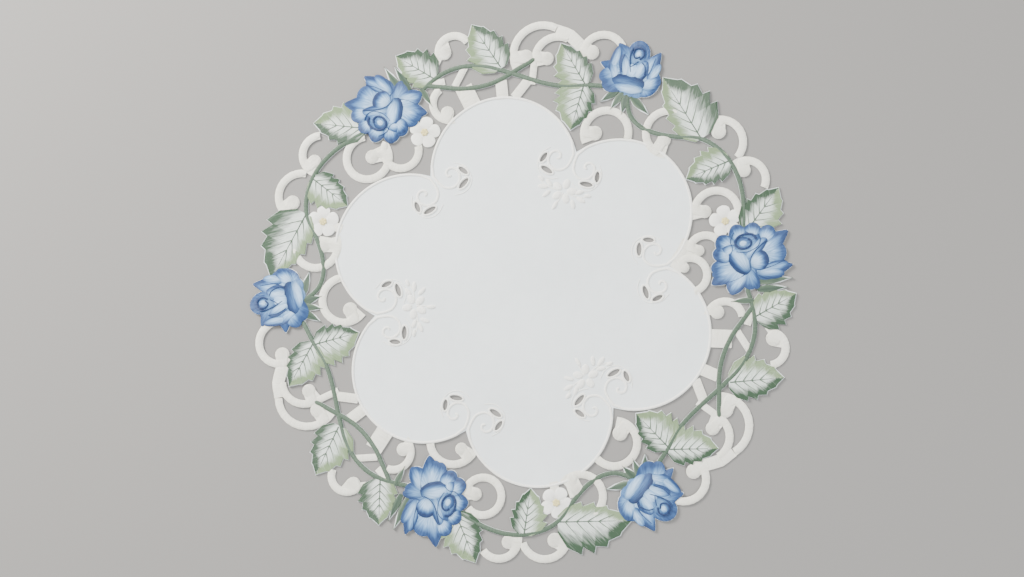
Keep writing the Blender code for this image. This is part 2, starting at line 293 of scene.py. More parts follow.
def band_outline(route: Sequence[Place], width: float) -> list[Place]:
    """The outline of a band of even width.

    Args:
        route: Its middle line as x and y.
        width: Its full width.

    Returns:
        The outline, up its left side and back down its right.
    """
    left, right = [], []
    for i, (x, y) in enumerate(route):
        aside = leftward(route, i)
        left.append((x + aside[0] * width / 2, y + aside[1] * width / 2))
        right.append((x - aside[0] * width / 2, y - aside[1] * width / 2))
    return left + right[::-1]


def filled(mesh: BMesh, outline: Sequence[Place], height: float) -> list[BMFace]:
    """Fills an outline.

    Args:
        mesh: The mesh that the face is added to.
        outline: The outline as x and y.
        height: Where the face lies.

    Returns:
        The face, in a list.
    """
    verts = [mesh.verts.new((x, y, height)) for x, y in outline]
    edges = [mesh.edges.new(pair) for pair in zip(verts, [*verts[1:], verts[0]])]
    faces = bmesh.ops.contextual_create(mesh, geom=edges)["faces"]
    bmesh.ops.recalc_face_normals(mesh, faces=faces)
    return faces


def ease(low: float, high: float, value: float) -> float:
    """Runs smoothly from 0 at low to 1 at high."""
    share = min(1.0, max(0.0, (value - low) / (high - low)))
    return share * share * (3.0 - 2.0 * share)


def blend_of(first: float, second: float, share: float) -> float:
    """Goes from the first value to the second as share goes from 0 to 1."""
    return first + (second - first) * share


def bulge(share: float) -> float:
    """The rise of a half round, from 1 in its middle to 0 at its rim."""
    return math.sqrt(max(0.0, 1.0 - share * share))


# ---------------------------------------------------------------- how the cloth lies, and how work is added


@dataclass(frozen=True)
class Lay:
    """How the layout comes to rest: a little out of round, with soft waves in the cloth."""

    first_rose_bearing: float = 8.0
    stretch_across: float = 0.009
    twist_share: float = 0.0143
    twist_phase: float = 20.0
    wave: float = 0.55
    wave_pitch: float = 70.0
    wave_seed: float = 3.7
    crease: float = 0.22
    crease_breadth: float = 26.0
    crease_length: float = 190.0
    crease_seed: float = 9.1

    def settled(self, x: float, y: float) -> Place:
        """Brings a place of the round layout a little out of round.

        Args:
            x: Place in the layout.
            y: Place in the layout.

        Returns:
            Where it lies in the cloth, in millimetres.
        """
        radius = math.hypot(x, y)
        angle = math.atan2(y, x)
        radius *= 1.0 + self.stretch_across * math.sin(2.0 * angle)
        angle += self.twist_share * math.cos(2.0 * angle - math.radians(self.twist_phase))
        return (radius * math.cos(angle), radius * math.sin(angle))

    def placed(self, x: float, y: float, repeat: int) -> Place:
        """Turns a place of the tables to its repeat and settles it.

        Args:
            x: Place in the layout.
            y: Place in the layout.
            repeat: Which third of the border it belongs to.

        Returns:
            The settled place, in millimetres.
        """
        turn = math.radians(self.first_rose_bearing + 360.0 / REPEATS * repeat)
        cosine, sine = math.cos(turn), math.sin(turn)
        return self.settled(x * cosine - y * sine, x * sine + y * cosine)

    def rise(self, x: float, y: float) -> float:
        """How far the cloth stands off the floor.

        Args:
            x: Settled place, in millimetres.
            y: Settled place, in millimetres.

        Returns:
            The height, in millimetres.
        """
        soft = noise.noise(Vector((x / self.wave_pitch, y / self.wave_pitch, self.wave_seed)))
        slant = ((x + y) / self.crease_breadth, (x - y) / self.crease_length, self.crease_seed)
        return max(0.0, self.wave * (0.5 + soft) + self.crease * noise.noise(Vector(slant)))

    def rest(self, x: float, y: float, z: float, repeat: int) -> Vector:
        """Lays a point of the tables.

        Args:
            x: Place in the layout.
            y: Place in the layout.
            z: Height above the underside of the cloth.
            repeat: Which third of the border it belongs to.

        Returns:
            The point in metres.
        """
        px, py = self.placed(x, y, repeat)
        return Vector((px, py, z + self.rise(px, py))) * MM


def finished(name: str, mesh: Mesh, material: Material, sharp: float) -> Object:
    """Makes a piece of the doily from its mesh.

    Args:
        name: The piece's name.
        mesh: Its mesh.
        material: Its finish.
        sharp: From how many degrees an edge is sharp.

    Returns:
        The piece, which rides on the doily.
    """
    mesh.shade_smooth()
    mesh.set_sharp_from_angle(angle=math.radians(sharp))
    mesh.materials.append(material)
    piece = bpy.data.objects.new(name, mesh)
    bpy.context.scene.collection.objects.link(piece)
    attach(piece, "root")
    LOG.info("%s: %d faces", name, len(mesh.polygons))
    return piece


class Work:
    """One piece of needlework, which shapes are added to until it becomes an object."""

    def __init__(self, name: str, lay: Lay) -> None:
        """Starts an empty piece.

        Args:
            name: Its name.
            lay: How the cloth under it lies.
        """
        self.name = name
        self.lay = lay
        self.mesh = bmesh.new()

    def started(self) -> BMesh:
        """Starts an empty shape.

        Returns:
            A mesh that can hold the thread's run, its shade and its side at each vertex.
        """
        shape = bmesh.new()
        shape.verts.layers.float_vector.new("threads")
        shape.verts.layers.float.new("shade")
        shape.verts.layers.float.new("side")
        return shape

    def add(self, shape: BMesh, stitches: dict[BMVert, Stitch], foot: float, repeat: int) -> None:
        """Gives an open top its stitches, its wall and its underside, lays it in its place and adds it.

        Args:
            shape: The open top.
            stitches: The stitch of each of its vertices.
            foot: Height of the underside.
            repeat: Which third of the border it belongs to.
        """
        threads = shape.verts.layers.float_vector["threads"]
        shade, side = shape.verts.layers.float["shade"], shape.verts.layers.float["side"]
        for vert, stitch in stitches.items():
            vert.co = (stitch.x, stitch.y, stitch.z)
            vert[threads] = (stitch.along, stitch.across, 0.0)
            vert[shade] = stitch.shade
            vert[side] = stitch.side
        rim = [edge for edge in shape.edges if edge.is_boundary]
        grown = bmesh.ops.extrude_edge_only(shape, edges=rim)["geom"]
        for vert in (item for item in grown if isinstance(item, BMVert)):
            vert.co.z = foot
        bmesh.ops.contextual_create(shape, geom=[edge for edge in shape.edges if edge.is_boundary])
        for vert in shape.verts:
            vert.co = self.lay.rest(*vert.co, repeat)
        bmesh.ops.recalc_face_normals(shape, faces=shape.faces)
        made = bpy.data.meshes.new(self.name)
        shape.to_mesh(made)
        shape.free()
        self.mesh.from_mesh(made)
        bpy.data.meshes.remove(made)

    def sheet(
        self, form: Form, shares: Sequence[float], sides: Sequence[float], repeat: int, foot: float = FOOT
    ) -> None:
        """Adds a strip shaped by a form.

        Args:
            form: Gives the stitch at a share of the length and a share to the side.
            shares: Stations along it, rising.
            sides: Stations across it, rising.
            repeat: Which third of the border it belongs to.
            foot: Height of the underside.
        """
        shape = self.started()
        bmesh.ops.create_grid(shape, x_segments=len(shares) - 1, y_segments=len(sides) - 1, size=1.0)
        stitches = {}
        for vert in shape.verts:
            column = round((vert.co.x + 1.0) / 2.0 * (len(shares) - 1))
            row = round((vert.co.y + 1.0) / 2.0 * (len(sides) - 1))
            stitches[vert] = form(shares[column], sides[row])
        self.add(shape, stitches, foot, repeat)

    def dome(self, form: Form, spokes: int, rings: int, repeat: int, foot: float = FOOT) -> None:
        """Adds a round shape.

        Args:
            form: Gives the stitch at a share of the reach and an angle in radians.
            spokes: How many points its rim has.
            rings: How many rings lie between its rim and its middle.
            repeat: Which third of the border it belongs to.
            foot: Height of the underside.
        """
        shape = self.started()
        bmesh.ops.create_uvsphere(shape, u_segments=spokes, v_segments=2 * rings, radius=1.0)
        low = [vert for vert in shape.verts if vert.co.z < -0.001]
        bmesh.ops.delete(shape, geom=low, context="VERTS")
        stitches = {}
        for vert in shape.verts:
            stitches[vert] = form(math.hypot(vert.co.x, vert.co.y), math.atan2(vert.co.y, vert.co.x))
        self.add(shape, stitches, foot, repeat)

    def patch(self, outline: Sequence[Place], top: float, foot: float, repeat: int) -> None:
        """Adds a flat patch of thread.

        Args:
            outline: What it fills, as x and y.
            top: Height of its top.
            foot: Height of its underside.
            repeat: Which third of the border it belongs to.
        """
        shape = self.started()
        bmesh.ops.triangulate(shape, faces=filled(shape, outline, top))
        self.add(shape, {vert: Stitch(*vert.co, vert.co.x, vert.co.y) for vert in shape.verts}, foot, repeat)

    def ribbon(
        self,
        route: Sequence[Place],
        width: float,
        base: float,
        top: float,
        repeat: int,
        shade: float = 0.0,
        ends: tuple[float, float] | None = None,
    ) -> None:
        """Adds a rounded band of thread along a route.

        Args:
            route: Its middle line as x and y.
            width: Its full width.
            base: Height of its edges.
            top: Height of its middle.
            repeat: Which third of the border it belongs to.
            shade: How dark its thread is.
            ends: Shares of the full width at its first and last point. Without them it has round ends.
        """
        runs = [0.0]
        for first, second in zip(route, route[1:]):
            runs.append(runs[-1] + math.dist(first, second))

        def form(station: float, side: float) -> Stitch:
            """The stitch of the band.

            Args:
                station: Number of the point of the route.
                side: Share of the half width, to the left.

            Returns:
                The stitch.
            """
            i = int(station)
            aside = leftward(route, i)
            close = min(runs[i], runs[-1] - runs[i]) / (width * 0.5)
            taper = blend_of(*ends, runs[i] / runs[-1]) if ends else math.sqrt(min(1.0, BLUNT_END + close))
            reach = side * width / 2 * taper
            lift = bulge(side) * min(1.0, 0.4 + 0.6 * taper)
            x, y = route[i][0] + aside[0] * reach, route[i][1] + aside[1] * reach
            return Stitch(x, y, blend_of(base, top, lift), reach, runs[i], shade, side)

        self.sheet(form, range(len(route)), ROUND_SIDES, repeat, base - RIBBON_DEPTH)

    def finish(self, material: Material) -> Object:
        """Turns the work into its piece.

        Args:
            material: Its finish.

        Returns:
            The piece.
        """
        mesh = bpy.data.meshes.new(self.name)
        self.mesh.to_mesh(mesh)
        self.mesh.free()
        return finished(self.name, mesh, material, SHARP_THREAD)


# ---------------------------------------------------------------- finishes

Source = NodeSocket | float | Sequence[float]
THREADS_A_METRE = 2300.0


def new_group(name: str, inputs: dict[str, float | None], outputs: Sequence[str]) -> NodeTree:
    """Makes an empty shader group.

    Args:
        name: Its name.
        inputs: Name and value of each input. A vector has no value.
        outputs: Name of each output, which is a value.

    Returns:
        The group, with its input and output nodes.
    """
    group = bpy.data.node_groups.new(name, "ShaderNodeTree")
    for label, value in inputs.items():
        kind = "NodeSocketVector" if value is None else "NodeSocketFloat"
        socket = group.interface.new_socket(name=label, in_out="INPUT", socket_type=kind)
        if value is not None:
            socket.default_value = value
    for label in outputs:
        group.interface.new_socket(name=label, in_out="OUTPUT", socket_type="NodeSocketFloat")
    group.nodes.new("NodeGroupInput").name = "in"
    group.nodes.new("NodeGroupOutput").name = "out"
    return group


class Nodes:
    """Short hand for the nodes and links of one tree."""

    def __init__(self, tree: NodeTree) -> None:
        """Takes the tree that it works in."""
        self.tree = tree

    def add(self, kind: str, **values: object) -> Node:
        """Adds a node.

        Args:
            kind: Its type.
            **values: Its properties.

        Returns:
            The node.
        """
        node = self.tree.nodes.new(kind)
        for name, value in values.items():
            setattr(node, name, value)
        return node

    def feed(self, socket: NodeSocket, source: Source) -> None:
        """Links a socket to another, or sets its value.

        Args:
            socket: The input that is fed.
            source: Another node's output, or a value.
        """
        if isinstance(source, NodeSocket):
            self.tree.links.new(source, socket)
        else:
            socket.default_value = source

    def math(self, operation: str, *sources: Source) -> NodeSocket:
        """Adds a sum on values.

        Args:
            operation: The sum's name.
            *sources: What it works on.

        Returns:
            Its result.
        """
        node = self.add("ShaderNodeMath", operation=operation)
        for socket, source in zip(node.inputs, sources):
            self.feed(socket, source)
        return node.outputs[0]

    def weighed(self, first: Source, share: float, second: Source) -> NodeSocket:
        """Mixes a share of the first value with the rest of the second."""
        return self.math("MULTIPLY_ADD", first, share, self.math("MULTIPLY", second, 1.0 - share))

    def strayed(self, value: Source, reach: float) -> NodeSocket:
        """Takes a value about a half to a value about zero, and scales it to a reach."""
        return self.math("MULTIPLY", self.math("SUBTRACT", value, 0.5), reach)

    def place(self) -> NodeSocket:
        """The place on the doily, in metres."""
        return self.add("ShaderNodeTexCoord").outputs["Object"]

    def noted(self, name: str, output: str = "Fac") -> NodeSocket:
        """What the needlework notes under a name."""
        return self.add("ShaderNodeAttribute", attribute_name=name).outputs[output]

    def grouped(self, name: str, source: Source) -> Node:
        """Places a shared group.

        Args:
            name: The group's name.
            source: What feeds its first input.

        Returns:
            The group's node.
        """
        node = self.add("ShaderNodeGroup", node_tree=bpy.data.node_groups[name])
        self.feed(node.inputs[0], source)
        return node

    def scaled(self, vector: Source, scale: Sequence[float]) -> NodeSocket:
        """Scales a vector.

        Args:
            vector: The vector.
            scale: Its scale on each axis.

        Returns:
            The scaled vector.
        """
        node = self.add("ShaderNodeMapping")
        self.feed(node.inputs["Vector"], vector)
        node.inputs["Scale"].default_value = scale
        return node.outputs[0]

    def noise(self, vector: Source, scale: float, detail: float = 2.0) -> NodeSocket:
        """Adds a noise.

        Args:
            vector: Where it is taken.
            scale: Its scale.
            detail: Its detail.

        Returns:
            Its value, about a half.
        """
        node = self.add("ShaderNodeTexNoise")
        self.feed(node.inputs["Vector"], vector)
        node.inputs["Scale"].default_value = scale
        node.inputs["Detail"].default_value = detail
        return node.outputs[0]

    def ramp(self, factor: Source, *stops: tuple[float, Colour]) -> NodeSocket:
        """Adds a colour ramp.

        Args:
            factor: What runs along it.
            *stops: Place and colour of each stop.

        Returns:
            Its colour.
        """
        node = self.add("ShaderNodeValToRGB")
        self.feed(node.inputs[0], factor)
        points = node.color_ramp.elements
        while len(points) < len(stops):
            points.new(1.0)
        for point, (place, colour) in zip(points, stops):
            point.position = place
            point.color = (*colour, 1.0)
        return node.outputs[0]

    def mix(self, factor: Source, first: Source, second: Source) -> NodeSocket:
        """Mixes two colours.

        Args:
            factor: Share of the second.
            first: The first colour.
            second: The second colour.

        Returns:
            The mixed colour.
        """
        node = self.add("ShaderNodeMix", data_type="RGBA")
        for socket, source in zip((node.inputs[0], node.inputs[6], node.inputs[7]), (factor, first, second)):
            self.feed(socket, source)
        return node.outputs[2]


def add_thread_group() -> None:
    """Adds the group of satin thread that lies side by side.

    It takes the thread's run in millimetres and its pitch, and gives the height and a streak.
    """
    group = new_group("satin_threads", {"Run": None, "Pitch": 0.4}, ("Height", "Streak"))
    nodes = Nodes(group)
    run, pitch = group.nodes["in"].outputs[:2]
    parts = nodes.add("ShaderNodeSeparateXYZ")
    nodes.feed(parts.inputs[0], run)
    wobble = nodes.noise(nodes.scaled(run, (0.25, 0.6, 1.0)), 1.0)
    shifted = nodes.math("MULTIPLY_ADD", wobble, 0.6, parts.outputs[1])
    turns = nodes.math("MULTIPLY", nodes.math("DIVIDE", shifted, pitch), math.pi)
    ridge = nodes.math("ABSOLUTE", nodes.math("SINE", turns))
    streak = nodes.noise(nodes.scaled(run, (0.10, 0.8, 1.0)), 1.0, 3.0)
    nodes.feed(group.nodes["out"].inputs["Height"], nodes.math("MULTIPLY_ADD", streak, 0.8, ridge))
    nodes.feed(group.nodes["out"].inputs["Streak"], streak)


def add_weave_group() -> None:
    """Adds the group of a plain weave, with its threads over and under each other.

    It takes a place and the threads in a metre, and gives the height and the unevenness of the threads.
    """
    group = new_group("plain_weave", {"Place": None, "Count": THREADS_A_METRE}, ("Height", "Slub"))
    nodes = Nodes(group)
    place, count = group.nodes["in"].outputs[:2]
    parts = nodes.add("ShaderNodeSeparateXYZ")
    nodes.feed(parts.inputs[0], place)
    waves, slubs = [], []
    for axis, stretch in enumerate(((60.0, THREADS_A_METRE, 1.0), (THREADS_A_METRE, 60.0, 1.0))):
        turns = nodes.math("MULTIPLY", nodes.math("MULTIPLY", parts.outputs[axis], count), math.pi)
        waves.append(nodes.math("COSINE", turns))
        slubs.append(nodes.noise(nodes.scaled(place, stretch), 1.0))
    crossing = nodes.math("MULTIPLY", *waves)
    over = []
    for wave, sign in zip(waves, (0.5, -0.5)):
        shown = nodes.math("MULTIPLY_ADD", crossing, sign, 0.5)
        over.append(nodes.math("MULTIPLY", nodes.math("ABSOLUTE", wave), shown))
    slub = nodes.math("MULTIPLY", nodes.math("ADD", *slubs), 0.5)
    height = nodes.math("MULTIPLY_ADD", slub, 0.8, nodes.math("MAXIMUM", *over))
    nodes.feed(group.nodes["out"].inputs["Height"], height)
    nodes.feed(group.nodes["out"].inputs["Slub"], slub)


def add_mottle_and_shade_group() -> None:
    """Adds the group of the broad soft mottle: partly uneven tone of the cloth and thread, partly painted soft
    shade in broad patches.

    It takes a place and gives a value about a half.
    """
    group = new_group("mottle_and_soft_shade", {"Place": None}, ("Value",))
    nodes = Nodes(group)
    place = group.nodes["in"].outputs[0]
    value = nodes.weighed(nodes.noise(place, 90.0), 0.3, nodes.noise(place, 14.0, 3.0))
    nodes.feed(group.nodes["out"].inputs["Value"], value)


@dataclass(frozen=True)
class Finish(ABC):
    """A finish of the doily: what all of them share."""

    name: str
    roughness: float = 0.5
    sheen: float = 0.15
    sheen_roughness: float = 0.4
    specular: float = 0.35
    # what a height of 1 is, in metres
    depth: float = 0.00012

    @abstractmethod
    def looks(self, nodes: Nodes) -> tuple[NodeSocket, NodeSocket]:
        """The colour and the height of its surface, made with a material's nodes."""

    def material(self) -> Material:
        """Builds the finish.

        Returns:
            Its material.
        """
        material = bpy.data.materials.new(self.name)
        material.use_nodes = True
        shader = material.node_tree.nodes["Principled BSDF"]
        shader.inputs["Roughness"].default_value = self.roughness
        shader.inputs["Specular IOR Level"].default_value = self.specular
        shader.inputs["Sheen Weight"].default_value = self.sheen
        shader.inputs["Sheen Roughness"].default_value = self.sheen_roughness
        nodes = Nodes(material.node_tree)
        colour, height = self.looks(nodes)
        bump = nodes.add("ShaderNodeBump")
        bump.inputs["Strength"].default_value = 1.0
        bump.inputs["Distance"].default_value = self.depth
        nodes.feed(bump.inputs["Height"], height)
        nodes.feed(shader.inputs["Normal"], bump.outputs[0])
        nodes.feed(shader.inputs["Base Color"], colour)
        return material


@dataclass(frozen=True)
class Linen(Finish):
    """The woven cloth of the ground."""

    depth: float = 0.00006
    pale: Colour = (0.80, 0.845, 0.835)
    dull: Colour = (0.735, 0.78, 0.775)

    def looks(self, nodes: Nodes) -> tuple[NodeSocket, NodeSocket]:
        """Weaves the cloth.

        Args:
            nodes: The material's nodes.

        Returns:
            The colour and the height.
        """
        place = nodes.place()
        weave = nodes.grouped("plain_weave", place)
        # the mottle is partly uneven tone of the cloth and partly painted soft shade in broad patches
        mottle = nodes.grouped("mottle_and_soft_shade", place)
        tone = nodes.weighed(weave.outputs["Slub"], 0.35, mottle.outputs[0])
        return nodes.ramp(tone, (0.38, self.dull), (0.60, self.pale)), weave.outputs["Height"]


@dataclass(frozen=True)
class Threads(Finish):
    """Thread in satin stitch: what all its colours share."""

    # from thread to thread, in millimetres
    pitch: float = 0.42

    @abstractmethod
    def coloured(self, nodes: Nodes, streak: NodeSocket) -> NodeSocket:
        """The colour of the thread, made with a material's nodes and the streak of the threads."""

    def looks(self, nodes: Nodes) -> tuple[NodeSocket, NodeSocket]:
        """Lays the threads as the needlework notes them.

        Args:
            nodes: The material's nodes.

        Returns:
            The colour and the height.
        """
        threads = nodes.grouped("satin_threads", nodes.noted("threads", "Vector"))
        threads.inputs["Pitch"].default_value = self.pitch
        return self.coloured(nodes, threads.outputs["Streak"]), threads.outputs["Height"]


@dataclass(frozen=True)
class PlainSatin(Threads):
    """Thread of one colour."""

    pale: Colour = (0.90, 0.88, 0.77)
    dull: Colour = (0.80, 0.775, 0.655)

    def coloured(self, nodes: Nodes, streak: NodeSocket) -> NodeSocket:
        """Colours the thread in one tone, uneven in its streaks, with a mottle that is partly painted soft
        shade.

        Args:
            nodes: The material's nodes.
            streak: The streak of the threads.

        Returns:
            The colour.
        """
        # the mottle lays the same painted soft shade on the thread as on the cloth, besides uneven tone
        mottle = nodes.grouped("mottle_and_soft_shade", nodes.place())
        tone = nodes.weighed(streak, 0.6, mottle.outputs[0])
        return nodes.ramp(tone, (0.36, self.dull), (0.58, self.pale))


@dataclass(frozen=True)
class ShadedSatin(Threads):
    """Thread that changes colour with the shade noted on the needlework, in long and short stitches."""

    stops: Stops = ()
    feather: float = 0.7

    def coloured(self, nodes: Nodes, streak: NodeSocket) -> NodeSocket:
        """Colours the thread by its shade.

        Args:
            nodes: The material's nodes.
            streak: The streak of the threads.

        Returns:
            The colour.
        """
        shade = nodes.math("ADD", nodes.noted("shade"), nodes.strayed(streak, self.feather))
        return nodes.ramp(shade, *self.stops)


@dataclass(frozen=True)
class LeafSatin(Threads):
    """Off-white leaf filling that runs into a green edge, dark on one side and light on the other."""

    fade: Stops = ((0.08, (0.0, 0.0, 0.0)), (0.45, (0.60, 0.60, 0.60)), (0.88, (1.0, 1.0, 1.0)))
    filling: Colour = (0.80, 0.83, 0.79)
    # painted shade: a darker grey-green where the thread streaks, and so the bump, lie low
    hollow_shade: Colour = (0.58, 0.66, 0.57)
    light: Colour = (0.195, 0.27, 0.14)
    dark: Colour = (0.036, 0.073, 0.038)
    feather: float = 1.5

    def coloured(self, nodes: Nodes, streak: NodeSocket) -> NodeSocket:
        """Colours the filling, darker with painted shade where its streaks lie low, and the edge.

        Args:
            nodes: The material's nodes.
            streak: The streak of the threads.

        Returns:
            The colour.
        """
        stray = nodes.strayed(streak, self.feather)
        edge = nodes.ramp(nodes.math("ADD", nodes.noted("shade"), stray), *self.fade)
        turn = nodes.math("MULTIPLY_ADD", nodes.noted("side"), 0.5, 0.5)
        turn = nodes.math("MULTIPLY_ADD", stray, 0.4, turn)
        green = nodes.ramp(turn, (0.36, self.light), (0.64, self.dark))
        # the filling turns to the painted hollow shade where the streaks lie low
        inside = nodes.ramp(streak, (0.35, self.hollow_shade), (0.60, self.filling))
        return nodes.mix(edge, inside, green)


BLUES: Stops = (
    (0.00, (0.46, 0.655, 0.89)),
    (0.12, (0.33, 0.515, 0.75)),
    (0.30, (0.165, 0.32, 0.55)),
    (0.50, (0.076, 0.173, 0.355)),
    (0.72, (0.026, 0.072, 0.195)),
    (1.00, (0.009, 0.026, 0.090)),
)
GREENS: Stops = (
    (0.00, (0.33, 0.38, 0.28)),
    (0.50, (0.085, 0.130, 0.085)),
    (1.00, (0.032, 0.060, 0.040)),
)


# ---------------------------------------------------------------- the ground


@dataclass
class GroundCloth:
    """The sheet of cloth: the lobed middle and the ground of the border, cut away between the motifs."""

    lay: Lay
    thickness: float = CLOTH_TOP
    blank_radius: float = 230.0
    blank_step: float = 7.5
    lobes: int = 6
    lobe_turn: float = 0.7
    lobe_hub: float = 90.3
    lobe_radius: float = 55.0
    lobe_step: float = 8.0
    # how far the solids that cut the sheet stand out of it. Each motif does so a little more than the last
    middle_reach: float = 1.9
    motif_reach: float = 2.0
    motif_more: float = 0.02
    hole_reach: float = 20.0
    # the net of extra edges that lets the sheet bend, and how far it goes
    net: float = 5.0
    net_reach: float = 205.0
    # from how many degrees a line of the cut sheet stays, and an edge is sharp
    bend: float = 1.0
    sharp: float = 40.0
    # what counts as one point when the cut sheet is cleaned and when it is divided, in metres
    merge: float = 0.000002
    on_plane: float = 0.0000005
    # the flat sheet, in metres and square metres
    flat_width: float = 0.402
    flat_length: float = 0.399
    flat_area: float = 0.102

    @property
    def lobe_turns(self) -> float:
        """Degrees from lobe to lobe."""
        return 360.0 / self.lobes

    @property
    def lobe_swing(self) -> float:
        """Half the angle of a lobe's arc, in degrees."""
        aside = self.lobe_hub * math.sin(math.pi / self.lobes)
        return self.lobe_turns / 2.0 + math.degrees(math.asin(aside / self.lobe_radius))

    def outline(self) -> list[Place]:
        """The outline of the middle.

        Returns:
            Equal arcs that meet in the valleys, as x and y.
        """
        swing = self.lobe_swing
        points: list[Place] = []
        for lobe in range(self.lobes):
            bearing = self.lobe_turn + self.lobe_turns * (lobe + 0.5)
            hub = spot(bearing, self.lobe_hub)
            points += arc(hub, self.lobe_radius, bearing - swing, bearing + swing, self.lobe_step)[:-1]
        return points

    def slab(self, outline: Sequence[Place], repeat: int, low: float, high: float, name: str) -> Object:
        """A flat solid from an outline.

        Args:
            outline: The outline as x and y.
            repeat: Which third of the border it belongs to.
            low: Height of its underside.
            high: Height of its top.
            name: Its name.

        Returns:
            The solid, in metres.
        """
        solid = bmesh.new()
        places = [self.lay.placed(x, y, repeat) for x, y in outline]
        face = filled(solid, [(x * MM, y * MM) for x, y in places], low * MM)
        grown = bmesh.ops.extrude_face_region(solid, geom=face)["geom"]
        raised = [item for item in grown if isinstance(item, BMVert)]
        bmesh.ops.translate(solid, verts=raised, vec=(0.0, 0.0, (high - low) * MM))
        bmesh.ops.triangulate(solid, faces=[item for item in solid.faces if len(item.verts) > 4])
        bmesh.ops.recalc_face_normals(solid, faces=solid.faces)
        mesh = bpy.data.meshes.new(name)
        solid.to_mesh(mesh)
        solid.free()
        return bpy.data.objects.new(name, mesh)

    def gathered(self, motifs: Sequence[Motif], reaches: Sequence[float], name: str) -> Collection:
        """A collection of flat solids.

        Args:
            motifs: Outline and repeat of each solid.
            reaches: How far each stands out of the sheet.
            name: The collection's name.

        Returns:
            The collection, in the scene.
        """
        group = bpy.data.collections.new(name)
        bpy.context.scene.collection.children.link(group)
        for number, ((outline, repeat), reach) in enumerate(zip(motifs, reaches)):
            group.objects.link(self.slab(outline, repeat, -reach, 1.0 + reach, f"{name}_{number}"))
        return group

    def joined(self, solid: Object, join: Join, other: Object | Collection) -> None:
        """Adds a Boolean to a solid.

        Args:
            solid: The solid.
            join: How the other is joined to it.
            other: Another solid, or a collection of solids.
        """
        modifier = solid.modifiers.new(join.name.lower(), "BOOLEAN")
        modifier.operation = join.value
        modifier.solver = "EXACT"
        if isinstance(other, Collection):
            modifier.operand_type = "COLLECTION"
            modifier.collection = other
        else:
            modifier.object = other

    def build(self, motifs: Sequence[Motif], eyelets: Sequence[Motif], material: Material) -> Object:
        """Builds the sheet.

        Args:
            motifs: Outline and repeat of every motif of the border.
            eyelets: Outline and repeat of every eyelet.
            material: Its finish.

        Returns:
            The sheet.
        """
        reaches = [self.motif_reach + self.motif_more * number for number in range(len(motifs))]
        shapes = self.gathered(motifs, reaches, "cloth_shapes")
        holes = self.gathered(eyelets, [self.hole_reach] * len(eyelets), "cloth_holes")
        pattern = self.slab(self.outline(), 0, -self.middle_reach, 1.0 + self.middle_reach, "cloth_pattern")
        self.joined(pattern, Join.ADD, shapes)
        self.joined(pattern, Join.CUT, holes)
        blank = arc((0.0, 0.0), self.blank_radius, 0.0, 360.0, self.blank_step)[:-1]
        cloth = self.slab(blank, 0, 0.0, self.thickness, "cloth_blank")
        self.joined(cloth, Join.COMMON, pattern)
        for solid in (pattern, cloth):
            bpy.context.scene.collection.objects.link(solid)
        shown = cloth.evaluated_get(bpy.context.evaluated_depsgraph_get())
        cut = bpy.data.meshes.new_from_object(shown)
        for used in [cloth, pattern, *shapes.objects, *holes.objects]:
            bpy.data.objects.remove(used)
        for group in (shapes, holes):
            bpy.data.collections.remove(group)
        piece = finished("ground_cloth", self.relaxed(cut), material, self.sharp)
        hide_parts("doily_cloth")
        return piece

    def relaxed(self, cut: Mesh) -> Mesh:
        """Divides the cut sheet and lets it lie in soft waves.

        Args:
            cut: The flat sheet.

        Returns:
            The mesh of the sheet.
        """
        sheet = bmesh.new()
        sheet.from_mesh(cut)
        bmesh.ops.remove_doubles(sheet, verts=sheet.verts, dist=self.merge)
        bend = math.radians(self.bend)
        bmesh.ops.dissolve_limit(sheet, angle_limit=bend, verts=sheet.verts, edges=sheet.edges)
        reach = int(self.net_reach / self.net)
        for axis in (0, 1):
            for i in range(-reach, reach + 1):
                place, normal = Vector(), Vector()
                place[axis], normal[axis] = i * self.net * MM, 1.0
                parts = [*sheet.verts, *sheet.edges, *sheet.faces]
                bmesh.ops.bisect_plane(sheet, geom=parts, dist=self.on_plane, plane_co=place, plane_no=normal)
        for vert in sheet.verts:
            vert.co.z += self.lay.rise(vert.co.x / MM, vert.co.y / MM) * MM
        bmesh.ops.recalc_face_normals(sheet, faces=sheet.faces)
        mesh = bpy.data.meshes.new("ground_cloth")
        sheet.to_mesh(mesh)
        sheet.free()
        return mesh


# ---------------------------------------------------------------- the needlework


class Scroll(NamedTuple):
    """A band on an arc, whose end may thicken into a round bulb.

    The bearing and radius are those of the arc's hub. Begin and end are degrees anticlockwise from the hub's
    clockwise side. The bulb's reach is how far its middle is from the hub.
    """

    name: str
    bearing: float
    radius: float
    reach: float
    begin: float
    end: float
    bulb_reach: float
    bulb: float
    repeats: tuple[int, ...]

    @property
    def hub(self) -> Place:
        """The middle of the arc."""
        return spot(self.bearing, self.radius)

    @property
    def first(self) -> float:
        """The angle at which the arc begins, in degrees."""
        return self.bearing - 90.0 + self.begin

    @property
    def last(self) -> float:
        """The angle at which the bulb sits, or the arc ends."""
        return self.bearing - 90.0 + self.end

    @property
    def middle(self) -> Place:
        """The middle of the bulb."""
        return about(self.hub, self.last, self.bulb_reach)


